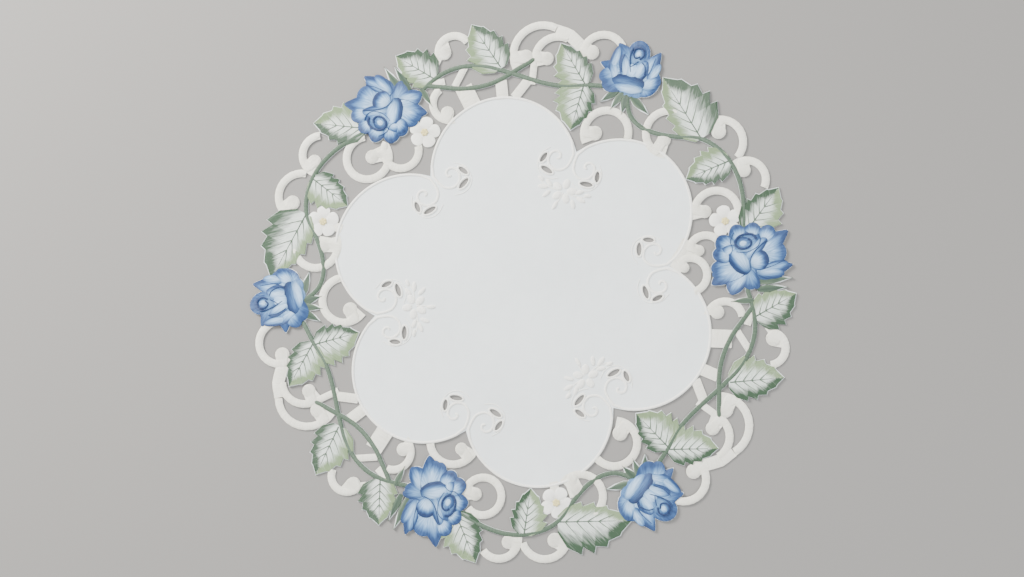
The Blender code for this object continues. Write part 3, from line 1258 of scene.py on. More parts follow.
@dataclass
class Scrolls:
    """Ivory satin scrolls, and the padded bars beside them."""

    lay: Lay
    band: float = 5.6
    margin: float = 0.2
    base: float = CLOTH_TOP
    top: float = 1.25
    bar_top: float = 0.95
    bulb_top: float = 1.45
    filling_top: float = 0.66
    filling_foot: float = 0.4
    foot: float = 0.2
    blunt: float = 0.15
    outline_step: float = 12.0
    band_step: float = 7.0
    bulb_spokes: int = 28
    bulb_rings: int = 6
    sides: tuple[float, ...] = (-1.0, -0.93, -0.75, -0.45, 0.0, 0.45, 0.75, 0.93, 1.0)
    rows: tuple[tuple, ...] = (
        # name, bearing, radius, reach, begin, end, bulb_reach, bulb, repeats
        ("outer_hook", 17.6, 182.0, 14.3, 40.0, 168.0, 7.2, 5.0, ALL),
        ("outer_wave", 28.3, 180.0, 17.0, 12.0, 150.0, 8.0, 5.4, ALL),
        ("inner_ring", 13.2, 152.8, 16.0, 60.0, 244.0, 8.4, 4.8, (0,)),
        ("inner_ring", 11.2, 152.7, 15.8, 50.0, 324.0, 3.6, 5.2, (1,)),
        ("inner_ring", 12.0, 152.6, 13.8, 48.0, 354.0, 5.8, 4.8, (2,)),
        ("rose_cradle", 3.1, 137.2, 12.3, 118.0, 245.0, 5.0, 4.0, (0,)),
        ("rose_cradle", 2.9, 138.5, 13.0, 110.0, 334.0, 0.0, 0.0, (1,)),
        ("valley_arch", -3.4, 123.7, 12.4, 10.0, 213.0, 6.7, 3.6, (0,)),
        ("valley_arch", -2.1, 120.1, 17.3, 30.0, 160.0, 8.4, 4.6, (2,)),
        ("stem_ring", 38.9, 157.0, 16.3, 110.0, 283.0, 6.0, 5.0, ALL),
        ("bud_ring", 54.0, 131.3, 16.6, 10.0, 209.0, 8.4, 5.4, ALL),
        ("bud_hook", 63.2, 182.7, 15.8, 10.0, 180.0, 9.0, 5.4, ALL),
        ("wide_arch", 77.6, 175.6, 21.8, 66.0, 194.0, 12.6, 5.8, ALL),
        ("narrow_arch", 73.8, 173.1, 16.7, 70.0, 184.0, 7.8, 5.0, ALL),
        ("leaf_hook", 98.4, 185.6, 12.0, 20.0, 168.0, 7.9, 5.6, ALL),
        ("rose_ring", 103.5, 150.2, 12.8, 106.0, 235.0, 7.5, 5.0, ALL),
    )
    bars: tuple[tuple[Route, float, tuple[int, ...]], ...] = (
        # places as bearing and radius, width, repeats
        (((75.0, 194.2), (71.8, 191.8), (68.3, 184.6)), 9.0, ALL),
        (((79.4, 173.0), (79.8, 153.0)), 5.0, ALL),
        (((80.9, 156.0), (84.8, 143.5)), 6.8, ALL),
        (((88.3, 157.0), (88.3, 143.0)), 8.6, ALL),
        (((98.6, 158.0), (97.4, 142.0)), 13.0, ALL),
        (((100.8, 160.6), (97.0, 172.0)), 5.0, ALL),
        (((106.8, 169.0), (102.8, 166.8)), 5.0, ALL),
        (((37.2, 156.0), (36.8, 142.0)), 6.0, (1, 2)),
        (((32.4, 151.0), (32.4, 142.0)), 6.4, (1, 2)),
        (((8.2, 126.7), (4.5, 119.5), (1.4, 112.7)), 7.4, (0,)),
        (((1.9, 112.2), (-1.4, 118.9)), 6.4, (0,)),
    )

    def swing(self, scroll: Scroll) -> float:
        """Half the angle of a scroll's bulb where it meets the band, in degrees."""
        return math.degrees(math.asin(min(0.9, scroll.bulb / (scroll.reach - self.band / 2))))

    def outline(self, scroll: Scroll) -> list[Place]:
        """The outline of a scroll.

        Args:
            scroll: The scroll.

        Returns:
            Its outline as x and y.
        """
        inner, outer = scroll.reach - self.band / 2, scroll.reach + self.band / 2
        first, last, swing = scroll.first, scroll.last, self.swing(scroll)
        outline = arc(scroll.hub, outer, first, last + swing, self.outline_step)
        if scroll.bulb:
            outline += arc(scroll.middle, scroll.bulb, last + 70.0, last + 290.0, 2.0 * self.outline_step)
        return outline + arc(scroll.hub, inner, last - swing, first, self.outline_step)

    def outlines(self) -> list[Motif]:
        """What the ground keeps under the needlework.

        Returns:
            Outline and repeat of every scroll and bar.
        """
        found = []
        for scroll in map(Scroll._make, self.rows):
            found += [(self.outline(scroll), repeat) for repeat in scroll.repeats]
        for places, width, repeats in self.bars:
            found += [(band_outline([spot(*place) for place in places], width), repeat) for repeat in repeats]
        return found

    def band_stitch(self, scroll: Scroll, share: float, side: float) -> Stitch:
        """The stitch of a band, which widens towards its bulb.

        Args:
            scroll: Its scroll.
            share: Share of its length.
            side: Share of its half width, outwards.

        Returns:
            The stitch.
        """
        half, swing = self.band / 2 - self.margin, self.swing(scroll)
        length = scroll.last + 1.1 * swing - scroll.first
        turn = scroll.first + length * share
        ends = min(share, 1.0 if scroll.bulb else 1.0 - share) * math.radians(length) * scroll.reach
        round_end = math.sqrt(min(1.0, self.blunt + ends / half))
        inner, outer = scroll.reach - half * round_end, scroll.reach + half * round_end
        if scroll.bulb:
            past = turn - scroll.last
            inner = blend_of(inner, scroll.bulb_reach, ease(-0.9 * swing, -0.1 * swing, past))
            outer = blend_of(outer, scroll.bulb_reach + 0.5, ease(0.2 * swing, 1.1 * swing, past))
        out = blend_of(inner, outer, (side + 1.0) / 2.0)
        x, y = about(scroll.hub, turn, out)
        high = blend_of(self.base, self.top, bulge(side))
        return Stitch(x, y, high, out, math.radians(turn) * scroll.reach)

    def bulb_stitch(self, scroll: Scroll, share: float, facing: float) -> Stitch:
        """The stitch of a bulb.

        Args:
            scroll: Its scroll.
            share: Share of its reach.
            facing: Angle about its middle, in radians.

        Returns:
            The stitch.
        """
        x, y = about(scroll.middle, math.degrees(facing), (scroll.bulb - self.margin) * share)
        angle = math.radians(scroll.last)
        swept = math.remainder(math.atan2(y - scroll.hub[1], x - scroll.hub[0]) - angle, math.tau)
        high = blend_of(self.base, self.bulb_top, bulge(share))
        return Stitch(x, y, high, math.dist((x, y), scroll.hub), (angle + swept) * scroll.reach)

    def build(self, material: Material) -> Object:
        """Builds the scrolls and bars as one piece.

        Args:
            material: Its finish.

        Returns:
            The piece.
        """
        work = Work("satin_scrolls", self.lay)
        for outline, repeat in self.outlines():
            work.patch(outline, self.filling_top, self.filling_foot, repeat)
        for places, width, repeats in self.bars:
            route = smooth_route([spot(*place) for place in places], 8)
            for repeat in repeats:
                work.ribbon(route, width - 2.0 * self.margin, self.base, self.bar_top, repeat)
        for scroll in map(Scroll._make, self.rows):
            length = scroll.last + 1.1 * self.swing(scroll) - scroll.first
            steps = max(8, round(length / self.band_step))
            shares = [i / steps for i in range(steps + 1)]
            for repeat in scroll.repeats:
                work.sheet(partial(self.band_stitch, scroll), shares, self.sides, repeat, self.foot)
                if scroll.bulb:
                    form = partial(self.bulb_stitch, scroll)
                    work.dome(form, self.bulb_spokes, self.bulb_rings, repeat, self.foot)
        return work.finish(material)


@dataclass
class Stems:
    """Green stems in rope-like satin."""

    lay: Lay
    width: float = 3.6
    margin: float = 0.1
    base: float = 0.6
    top: float = 1.42
    # how much higher each stem lies than the one before
    lift: float = 0.05
    shade: float = 0.60
    routes: tuple[Route, ...] = (
        (
            (54.0, 163.0), (50.6, 151.5), (46.2, 148.0), (41.3, 151.0), (36.8, 158.5), (31.9, 171.0),
            (26.4, 177.0), (20.5, 178.2), (14.5, 175.0), (7.5, 168.4), (3.5, 165.0),
        ),
        (
            (59.0, 163.5), (65.2, 158.2), (70.5, 154.2), (75.5, 154.2), (80.2, 156.8), (85.4, 161.8),
            (91.0, 168.0), (96.0, 172.2), (101.0, 173.2), (106.0, 170.5), (112.0, 164.5),
        ),
        (
            (107.5, 169.5), (103.2, 162.3), (98.8, 157.0), (93.6, 155.2), (88.8, 157.4), (83.6, 164.5),
            (79.4, 172.0),
        ),
    )

    def route(self, places: Route, steps: int) -> list[Place]:
        """The smooth middle line of a stem."""
        return smooth_route([spot(*place) for place in places], steps)

    def outlines(self) -> list[Motif]:
        """Outline and repeat of every stem."""
        bands = [band_outline(self.route(places, 4), self.width) for places in self.routes]
        return [(band, repeat) for band in bands for repeat in ALL]

    def build(self, material: Material) -> Object:
        """Builds all the stems as one piece.

        Args:
            material: Its finish.

        Returns:
            The piece.
        """
        work = Work("stems", self.lay)
        for repeat in ALL:
            for number, places in enumerate(self.routes):
                route, width = self.route(places, 8), self.width - 2.0 * self.margin
                base, top = self.base + self.lift * number, self.top + self.lift * number
                work.ribbon(route, width, base, top, repeat, self.shade)
        return work.finish(material)


class Leaf(NamedTuple):
    """A leaf: its base and tip as bearing and radius, its reach to both sides, and its dark edge."""

    base: Place
    tip: Place
    left: float
    right: float
    dark: DarkSide


@dataclass
class Leaves:
    """Saw-toothed leaves with a green satin edge, an off-white filling and raised veins."""

    lay: Lay
    teeth: int = 4
    foot_share: float = 0.35
    margin: float = 0.2
    tip_margin: float = 0.6
    middle_top: float = 1.12
    edge_top: float = 1.34
    ripple: float = 0.10
    # veins: width, height of the edges and of the middle line
    main_vein: tuple[float, ...] = (1.045, 1.0, 1.52)
    side_vein: tuple[float, ...] = (0.855, 0.95, 1.46)
    vein_starts: tuple[float, ...] = (0.10, 0.25, 0.40, 0.55)
    rows: tuple[tuple[Place, Place, float, float, DarkSide], ...] = (
        # base, tip, left, right, dark edge
        ((6.0, 169.0), (13.2, 201.5), 14.0, 18.0, DarkSide.LEFT),
        ((23.4, 178.4), (25.6, 144.2), 12.0, 15.5, DarkSide.LEFT),
        ((31.8, 171.2), (48.6, 187.0), 14.0, 24.0, DarkSide.RIGHT),
        ((65.2, 158.6), (73.6, 185.4), 17.0, 12.0, DarkSide.RIGHT),
        ((65.6, 158.0), (65.4, 123.0), 12.0, 19.0, DarkSide.LEFT),
        ((87.9, 166.0), (93.4, 202.4), 18.0, 14.5, DarkSide.RIGHT),
        ((105.0, 171.5), (110.8, 200.4), 13.5, 16.5, DarkSide.RIGHT),
    )
    # stations along a blade, apart from the corners of its edge, and across it
    stations: tuple[float, ...] = (
        0.04, 0.08, 0.17, 0.22, 0.27, 0.39, 0.44, 0.56, 0.61, 0.73, 0.78, 0.90, 0.94, 0.98,
    )
    sides: tuple[float, ...] = (
        -1.0, -0.97, -0.88, -0.74, -0.58, -0.40, -0.20, 0.0, 0.20, 0.40, 0.58, 0.74, 0.88, 0.97, 1.0,
    )

    def corners(self) -> list[tuple[float, float]]:
        """The corners of a leaf's edge.

        Returns:
            Share of the length and share of the reach at each of them.
        """
        points = [(0.0, self.foot_share), (0.12, 0.80)]
        for tooth in range(self.teeth):
            share = 0.32 + 0.52 * tooth / (self.teeth - 1)
            height = math.sin(math.pi * share**0.72) ** 0.8
            points += [(share, height * 1.04), (share + 0.02, height * 0.80)]
        return points + [(1.0, 0.0)]

    def edge(self, share: float) -> float:
        """The edge of a leaf.

        Args:
            share: Share of the length.

        Returns:
            Share of the reach there.
        """
        points = self.corners()
        for (first, low), (second, high) in zip(points, points[1:]):
            if share <= second:
                return blend_of(low, high, (share - first) / (second - first))
        return 0.0

    def outlines(self) -> list[Motif]:
        """What the ground keeps under the needlework.

        Returns:
            Outline and repeat of every leaf.
        """
        found = []
        corners = self.corners()
        for leaf in map(Leaf._make, self.rows):
            left = [along(leaf.base, leaf.tip, share, high * leaf.left) for share, high in corners]
            right = [along(leaf.base, leaf.tip, share, -high * leaf.right) for share, high in corners[:-1]]
            found += [(left + right[::-1], repeat) for repeat in ALL]
        return found

    def stitch(self, leaf: Leaf, share: float, side: float) -> Stitch:
        """The stitch of a blade.

        Args:
            leaf: Its leaf.
            share: Share of its length.
            side: Share of its reach, to the left.

        Returns:
            The stitch.
        """
        run, aside = span(leaf.base, leaf.tip), abs(side)
        reach = self.edge(share) * (leaf.left if side > 0 else leaf.right)
        out = side * max(0.1, reach - self.margin)
        x, y = along(leaf.base, leaf.tip, share * (1.0 - self.tip_margin / run), out)
        high = blend_of(self.middle_top, self.edge_top, ease(0.45, 0.75, aside))
        high += self.ripple * math.cos(math.tau * (share * 6.0 - aside * 1.4)) * (1.0 - aside)
        green = aside + 0.75 * ease(0.60, 1.0, share) - 0.1 * (1.0 - ease(0.0, 0.35, share))
        thread = (share * run * 0.70 + abs(out) * 0.71, share * run * 0.71 - abs(out) * 0.70)
        dark = leaf.dark.value * side * 3.0
        return Stitch(x, y, CLOTH_TOP if aside > 0.999 else high, *thread, ease(0.12, 0.92, green), dark)

    def side_veins(self, leaf: Leaf) -> list[list[Place]]:
        """The middle lines of a leaf's side veins.

        Args:
            leaf: The leaf.

        Returns:
            The lines as x and y, which bend forwards as they go out.
        """
        routes = []
        for start in self.vein_starts:
            for reach in (leaf.left, -leaf.right):
                out = reach * self.edge(min(0.8, start + 0.15)) * 0.66
                ways = [(start + 0.20 * go + 0.05 * go * go, out * go) for go in (i / 6 for i in range(7))]
                routes.append([along(leaf.base, leaf.tip, share, side) for share, side in ways])
        return routes

    def build(self, filling: Material, veins: Material) -> list[Object]:
        """Builds the blades and their veins.

        Args:
            filling: Finish of the blades.
            veins: Finish of the veins.

        Returns:
            Both pieces.
        """
        blades, ribs = Work("leaf_blades", self.lay), Work("leaf_veins", self.lay)
        shares = sorted({share for share, _ in self.corners()} | set(self.stations))
        for leaf in map(Leaf._make, self.rows):
            middle = [along(leaf.base, leaf.tip, 0.02 + 0.76 * i / 9, 0.0) for i in range(10)]
            for repeat in ALL:
                blades.sheet(partial(self.stitch, leaf), shares, self.sides, repeat)
                ribs.ribbon(middle, *self.main_vein, repeat, 0.66, (1.0, 0.35))
                for route in self.side_veins(leaf):
                    ribs.ribbon(route, *self.side_vein, repeat, 0.45, (1.0, 0.30))
        return [blades.finish(filling), ribs.finish(veins)]


@dataclass
class Sepals:
    """Slim green sepals round the roses."""

    lay: Lay
    margin: float = 0.15
    edge_top: float = 0.9
    puff: float = 0.55
    # how much higher each sepal lies than the one before
    lift: float = 0.06
    sides: tuple[float, ...] = (-1.0, -0.9, -0.5, 0.0, 0.5, 0.9, 1.0)
    # share of the length and share of the breadth at the corners of the outline
    corners: tuple[Place, ...] = ((0.0, 0.30), (0.30, 0.5), (0.65, 0.36))
    rows: tuple[tuple[Place, Place, float], ...] = (
        # base, tip, breadth
        ((52.6, 163.0), (45.8, 158.4), 6.5),
        ((54.0, 164.0), (52.6, 148.0), 7.0),
        ((55.0, 164.0), (56.2, 147.5), 6.0),
        ((56.5, 163.0), (59.8, 150.0), 6.0),
        ((113.6, 171.0), (114.0, 197.6), 7.0),
        ((111.6, 172.0), (112.1, 194.0), 6.0),
        ((109.0, 169.0), (108.4, 153.0), 5.0),
    )

    def outlines(self) -> list[Motif]:
        """What the ground keeps under the needlework.

        Returns:
            Outline and repeat of every sepal.
        """
        found = []
        for base, tip, breadth in self.rows:
            left = [along(base, tip, share, high * breadth) for share, high in (*self.corners, (1.0, 0.0))]
            right = [along(base, tip, share, -high * breadth) for share, high in self.corners]
            found += [(left + right[::-1], repeat) for repeat in ALL]
        return found

    def stitch(self, number: int, share: float, side: float) -> Stitch:
        """The stitch of a sepal.

        Args:
            number: Its row of the table.
            share: Share of its length.
            side: Share of its reach, to the left.

        Returns:
            The stitch.
        """
        base, tip, breadth = self.rows[number]
        slim = 0.30 + 0.62 * share if share < 0.3 else 0.49 * (1.0 - ease(0.3, 1.05, share))
        reach = side * max(self.margin, breadth * slim - self.margin)
        high = CLOTH_TOP if abs(side) > 0.99 else self.edge_top + self.puff * bulge(side)
        shade = 0.35 + 0.45 * (1.0 - abs(side)) + 0.15 * (number % 2)
        run = share * span(base, tip)
        return Stitch(*along(base, tip, share, reach), high + self.lift * number, run, reach, shade, side)

    def build(self, material: Material) -> Object:
        """Builds all the sepals as one piece.

        Args:
            material: Its finish.

        Returns:
            The piece.
        """
        work = Work("sepals", self.lay)
        for number in range(len(self.rows)):
            for repeat in ALL:
                form = partial(self.stitch, number)
                work.sheet(form, [i / 10 for i in range(11)], self.sides, repeat)
        return work.finish(material)


class Petal(NamedTuple):
    """A petal of a rose: its place, lean and size, and how its blue runs.

    The pull draws its tip to a point, and the layer says how high it lies. The blue runs from pale in the middle
    to dark at the rim, most of all towards the dark heading, where 0 is the palest blue and 1 the darkest.
    """

    across: float
    out: float
    heading: float
    length: float
    breadth: float
    pull: float
    dark_heading: float
    pale: float
    dark: float
    layer: int


@dataclass
class Roses:
    """Roses of one kind: overlapping petals in shaded blue, with a curled eye."""

    lay: Lay
    name: str
    place: Place
    # how the rose lies in each repeat: what across and out give to across and to out, then both shifts
    lies: Table
    # the columns of Petal. The outer ones make the rose's outline
    outer: Table
    inner: Table
    lines: tuple[Line, ...]
    outline_points: int = 18
    spokes: int = 32
    rings: int = 6
    line_depth: float = 0.4
    low: float = 1.42
    layer: float = 0.09
    puff: float = 0.40
    dip: float = 0.16
    rim: float = 0.12
    slim: float = 2.4
    margin: float = 0.35

    def lain(self, repeat: int, across: float, out: float) -> Place:
        """Lays a place of the rose.

        Args:
            repeat: Which third of the border it belongs to.
            across: Place in the rose.
            out: Place in the rose.

        Returns:
            The place as x and y.
        """
        aa, oa, ao, oo, shift_across, shift_out = self.lies[repeat]
        return beside(self.place, aa * across + oa * out + shift_across, ao * across + oo * out + shift_out)

    def petal_way(self, petal: Petal, reach: float, angle: float, margin: float = 0.0) -> Place:
        """A place on a petal.

        Args:
            petal: The petal.
            reach: Share of the way from its middle to its rim.
            angle: Angle from its tip, in radians.
            margin: How far its rim is kept in.

        Returns:
            How far ahead of its middle and aside of it the place is.
        """
        front = (1.0 + math.cos(angle)) / 2.0
        ahead = (petal.length / 2 - margin) * (math.cos(angle) + 2.0 * petal.pull * front**6) * reach
        slim = 1.0 - self.slim * petal.pull * front**3
        return (ahead, (petal.breadth / 2 - margin) * math.sin(angle) * slim * reach)

    def petal_spot(self, petal: Petal, repeat: int, ahead: float, side: float) -> Place:
        """The x and y of a place ahead and aside of a petal's middle."""
        return self.lain(repeat, *stepped((petal.across, petal.out), petal.heading, ahead, side))

    def outlines(self) -> list[Motif]:
        """What the ground keeps under the needlework.

        Returns:
            Outline and repeat of every outer petal.
        """
        found = []
        for petal in map(Petal._make, self.outer):
            angles = [math.tau * i / self.outline_points for i in range(self.outline_points)]
            ways = [self.petal_way(petal, 1.0, angle) for angle in angles[::-1]]
            for repeat in ALL:
                found.append(([self.petal_spot(petal, repeat, *way) for way in ways], repeat))
        return found

    def stitch(self, petal: Petal, repeat: int, reach: float, angle: float) -> Stitch:
        """The stitch of a petal, whose threads fan out from its foot.

        Args:
            petal: The petal.
            repeat: Which third of the border it belongs to.
            reach: Share of its reach.
            angle: Angle from its tip, in radians.

        Returns:
            The stitch.
        """
        ahead, side = self.petal_way(petal, reach, angle, self.margin)
        x, y = self.petal_spot(petal, repeat, ahead, side)
        root = ahead + petal.length * 0.62
        toward = 0.5 + 0.5 * math.cos(angle + math.radians(petal.heading - petal.dark_heading))
        weight = min(1.0, 1.4 * reach**1.15 * toward**1.5 + 0.55 * reach**5)
        high = self.low + self.layer * petal.layer + self.puff * (1.0 - reach**3)
        high -= self.dip * toward * reach * (1.0 - reach) + (self.rim if reach > 0.99 else 0.0)
        fan = math.atan2(side, root) * petal.length * 0.8
        return Stitch(x, y, high, math.hypot(root, side), fan, blend_of(petal.pale, petal.dark, weight))

    def build(self, material: Material) -> Object:
        """Builds these roses as one piece.

        Args:
            material: Its finish.

        Returns:
            The piece.
        """
        work = Work(self.name, self.lay)
        for repeat in ALL:
            for petal in map(Petal._make, self.outer + self.inner):
                work.dome(partial(self.stitch, petal, repeat), self.spokes, self.rings, repeat)
            for places, width, shade, height, ends in self.lines:
                route = smooth_route([self.lain(repeat, *place) for place in places], 5)
                work.ribbon(route, width, height - self.line_depth, height, repeat, shade, ends)
        return work.finish(material)


@dataclass
class LargeRoses(Roses):
    """The three large roses."""

    name: str = "large_roses"
    place: Place = (-0.7, 167.5)
    lies: Table = (
        (1.0, 0.0, 0.0, 1.0, 0.0, 0.0),
        (0.96, 0.25, -0.28, 0.88, -1.4, 3.0),
        (1.0, 0.0, 0.0, 1.0, 0.0, -1.6),
    )
    outer: Table = (
        # across, out, heading, length, breadth, pull, dark_heading, pale, dark, layer
        (0.0, 0.0, 0.0, 34.0, 34.0, 0.0, 0.0, 0.4, 0.5, 0),
        (1.5, 18.0, 0.0, 19.0, 18.0, 0.0, 0.0, 0.15, 0.75, 1),
        (8.0, 16.0, 30.0, 24.0, 18.0, 0.20, 35.0, 0.10, 0.85, 2),
        (-10.2, 13.5, 5.0, 25.0, 16.0, 0.20, -40.0, 0.2, 0.85, 2),
        (14.5, 14.0, 58.0, 17.0, 14.0, 0.0, 60.0, 0.2, 0.8, 2),
        (18.0, 5.0, 85.0, 16.0, 13.0, 0.0, 80.0, 0.2, 0.8, 2),
        (17.0, -6.0, 100.0, 18.5, 13.5, 0.0, 100.0, 0.2, 0.8, 2),
        (11.5, -15.0, 140.0, 18.0, 15.0, 0.0, 142.0, 0.2, 0.8, 2),
        (5.5, -18.5, 172.0, 15.5, 12.5, 0.0, 172.0, 0.2, 0.8, 2),
        (-3.5, -19.0, 184.0, 19.5, 12.5, 0.0, 184.0, 0.1, 0.8, 2),
        (-8.5, -17.0, 208.0, 22.0, 16.0, 0.15, 208.0, 0.1, 0.85, 3),
        (-13.5, -1.0, 270.0, 19.0, 15.0, 0.0, 290.0, 0.3, 0.8, 2),
        (-14.0, -10.5, 240.0, 23.0, 15.0, 0.0, 245.0, 0.1, 0.75, 3),
    )
    inner: Table = (
        (15.5, 14.5, 50.0, 14.0, 13.0, 0.0, 70.0, 0.08, 0.75, 3),
        (-7.6, 17.0, 4.0, 21.0, 7.5, 0.0, 90.0, 0.2, 0.8, 3),
        (-12.8, 13.5, -8.0, 21.0, 9.0, 0.0, -80.0, 0.1, 0.85, 4),
        (19.0, 4.5, 85.0, 13.0, 13.5, 0.0, 75.0, 0.1, 0.8, 3),
        (18.6, -6.0, 100.0, 14.0, 13.5, 0.0, 115.0, 0.1, 0.8, 4),
        (13.0, -15.5, 140.0, 16.0, 12.5, 0.0, 145.0, 0.1, 0.85, 4),
        (4.5, -18.0, 172.0, 14.0, 12.5, 0.0, 185.0, 0.1, 0.85, 5),
        (8.0, -14.2, 200.0, 12.0, 10.0, 0.0, 130.0, 0.05, 0.8, 6),
        (-7.0, -18.5, 190.0, 20.0, 13.0, 0.0, 185.0, 0.05, 0.8, 4),
        (-17.0, -10.0, 225.0, 20.0, 10.0, 0.0, 275.0, 0.05, 0.8, 4),
        (-14.5, 0.5, 290.0, 18.0, 9.0, 0.0, 330.0, 0.3, 0.85, 4),
        (11.6, 0.0, 20.0, 21.0, 18.0, 0.0, 45.0, 0.2, 0.75, 5),
        (6.0, 5.4, 40.0, 25.0, 9.0, 0.0, 320.0, 0.15, 0.85, 6),
        (-2.0, 6.5, 14.0, 15.5, 16.0, 0.0, 12.0, 0.0, 1.0, 7),
        (-1.0, -7.8, 122.0, 24.0, 14.5, 0.1, 215.0, 0.0, 1.0, 7),
        (12.0, -3.0, 0.0, 13.0, 10.4, 0.0, 90.0, 0.4, 0.9, 7),
        (11.4, -3.2, 0.0, 7.0, 5.2, 0.0, 0.0, 0.0, 0.2, 9),
    )
    lines: tuple[Line, ...] = (
        # places as across and out, width, shade, height, shares of the width at both ends
        (
            (
                (13.0, 6.6), (16.6, 4.6), (17.8, 0.0), (16.6, -5.8), (12.6, -9.0), (8.6, -7.0), (7.4, -2.4),
                (9.0, 1.6), (12.2, 2.6), (14.4, 0.6),
            ),
            2.3, 1.0, 2.85, (0.7, 0.7),
        ),
        (
            ((17.0, 8.2), (12.4, 9.4), (8.0, 7.0), (5.4, 1.6), (4.8, -4.0), (6.0, -9.0)),
            1.6, 0.8, 2.7, (0.5, 0.3),
        ),
        (((11.4, 14.0), (8.4, 9.4), (3.8, 3.6), (-1.6, 0.2), (-7.0, -0.6)), 1.8, 0.9, 2.75, (0.7, 0.3)),
        (((-4.6, 25.0), (-7.4, 17.0), (-9.2, 8.0)), 1.7, 0.9, 2.3, (0.4, 0.5)),
        (((20.0, -9.0), (14.0, -12.2), (8.6, -11.4), (3.0, -13.8)), 1.6, 0.85, 2.6, (0.4, 0.4)),
        (((9.4, 12.6), (11.6, 17.0), (15.0, 20.4)), 1.5, 0.8, 2.1, (0.6, 0.3)),
        (((-9.8, -2.6), (-13.2, -9.0), (-15.2, -17.0)), 1.8, 0.85, 2.25, (0.6, 0.3)),
        (((-8.0, 3.6), (-12.4, 3.6), (-18.0, 5.0)), 1.6, 0.8, 2.2, (0.6, 0.3)),
    )


@dataclass
class SmallRoses(Roses):
    """The three small roses."""

    name: str = "small_roses"
    place: Place = (54.6, 180.0)
    lies: Table = (
        (1.0, 0.0, 0.0, 1.0, 0.0, 0.0),
        (1.0, 0.0, 0.05, 1.0, -6.7, -1.2),
        (1.05, 0.15, -0.16, 1.0, -2.4, -2.0),
    )
    outer: Table = (
        # across, out, heading, length, breadth, pull, dark_heading, pale, dark, layer
        (0.0, -2.0, 0.0, 34.0, 27.0, 0.0, 0.0, 0.3, 0.5, 0),
        (4.0, 12.5, 14.0, 22.0, 18.0, 0.0, 10.0, 0.4, 0.75, 1),
        (-8.5, 8.5, -8.0, 19.0, 14.0, 0.20, -60.0, 0.15, 0.9, 2),
        (-11.0, -3.0, 262.0, 20.0, 23.0, 0.0, 300.0, 0.15, 0.75, 1),
        (10.5, 8.0, 60.0, 18.0, 15.0, 0.2, 80.0, 0.3, 0.8, 1),
        (12.5, -3.0, 95.0, 20.0, 17.0, 0.24, 97.0, 0.2, 0.8, 2),
        (9.5, -10.5, 140.0, 25.0, 18.0, 0.0, 150.0, 0.3, 0.8, 3),
        (-5.0, -8.0, 214.0, 20.0, 16.0, 0.0, 214.0, 0.1, 0.5, 2),
    )
    inner: Table = (
        (15.5, -9.0, 130.0, 19.0, 13.0, 0.0, 150.0, 0.15, 0.75, 3),
        (-12.0, 5.0, -10.0, 18.0, 8.5, 0.0, 95.0, 0.05, 0.85, 3),
        (-14.5, -2.5, -40.0, 16.0, 11.0, 0.0, -60.0, 0.05, 0.8, 4),
        (18.0, 1.0, 8.0, 24.0, 7.5, 0.0, 90.0, 0.1, 0.85, 3),
        (14.5, -7.0, 40.0, 20.0, 9.0, 0.0, 100.0, 0.05, 0.85, 4),
        (4.2, 11.5, 5.0, 18.0, 14.0, 0.0, 20.0, 0.35, 0.85, 4),
        (-3.2, 2.0, -12.0, 19.0, 12.0, 0.0, 275.0, 0.0, 0.85, 5),
        (9.0, -0.5, 30.0, 21.0, 9.5, 0.0, 95.0, 0.0, 0.85, 5),
        (2.5, -2.0, 8.0, 15.0, 11.0, 0.0, 180.0, 0.0, 0.55, 6),
        (1.5, -8.6, 104.0, 26.0, 12.5, 0.0, 14.0, 0.55, 1.0, 7),
        (-1.0, -12.2, 104.0, 22.0, 9.5, 0.0, 30.0, 0.0, 0.55, 8),
        (4.0, 13.2, 5.0, 6.4, 4.8, 0.0, 0.0, 0.0, 0.35, 7),
    )
    lines: tuple[Line, ...] = (
        # places as across and out, width, shade, height, shares of the width at both ends
        (
            ((1.6, 9.4), (0.0, 13.6), (3.0, 17.4), (7.4, 15.6), (7.6, 11.4), (4.8, 9.2), (2.4, 11.4)),
            1.9, 1.0, 2.75, (0.7, 0.6),
        ),
        (((9.8, 15.0), (9.0, 9.0), (6.4, 3.4), (3.4, -1.6)), 1.6, 0.95, 2.65, (0.6, 0.4)),
        (((1.8, 8.0), (3.6, 4.4), (5.4, 1.6)), 1.4, 0.85, 2.65, (0.6, 0.4)),
        (((-1.0, 8.4), (-4.6, 6.4), (-7.0, 1.0), (-6.6, -2.6)), 1.9, 0.95, 2.5, (0.4, 0.9)),
        (((13.4, 9.0), (12.4, 2.0), (9.0, -4.4)), 1.7, 0.9, 2.35, (0.4, 0.9)),
        (((-8.6, 15.6), (-9.6, 8.0), (-9.6, 2.0)), 1.5, 0.8, 2.2, (0.4, 0.8)),
    )


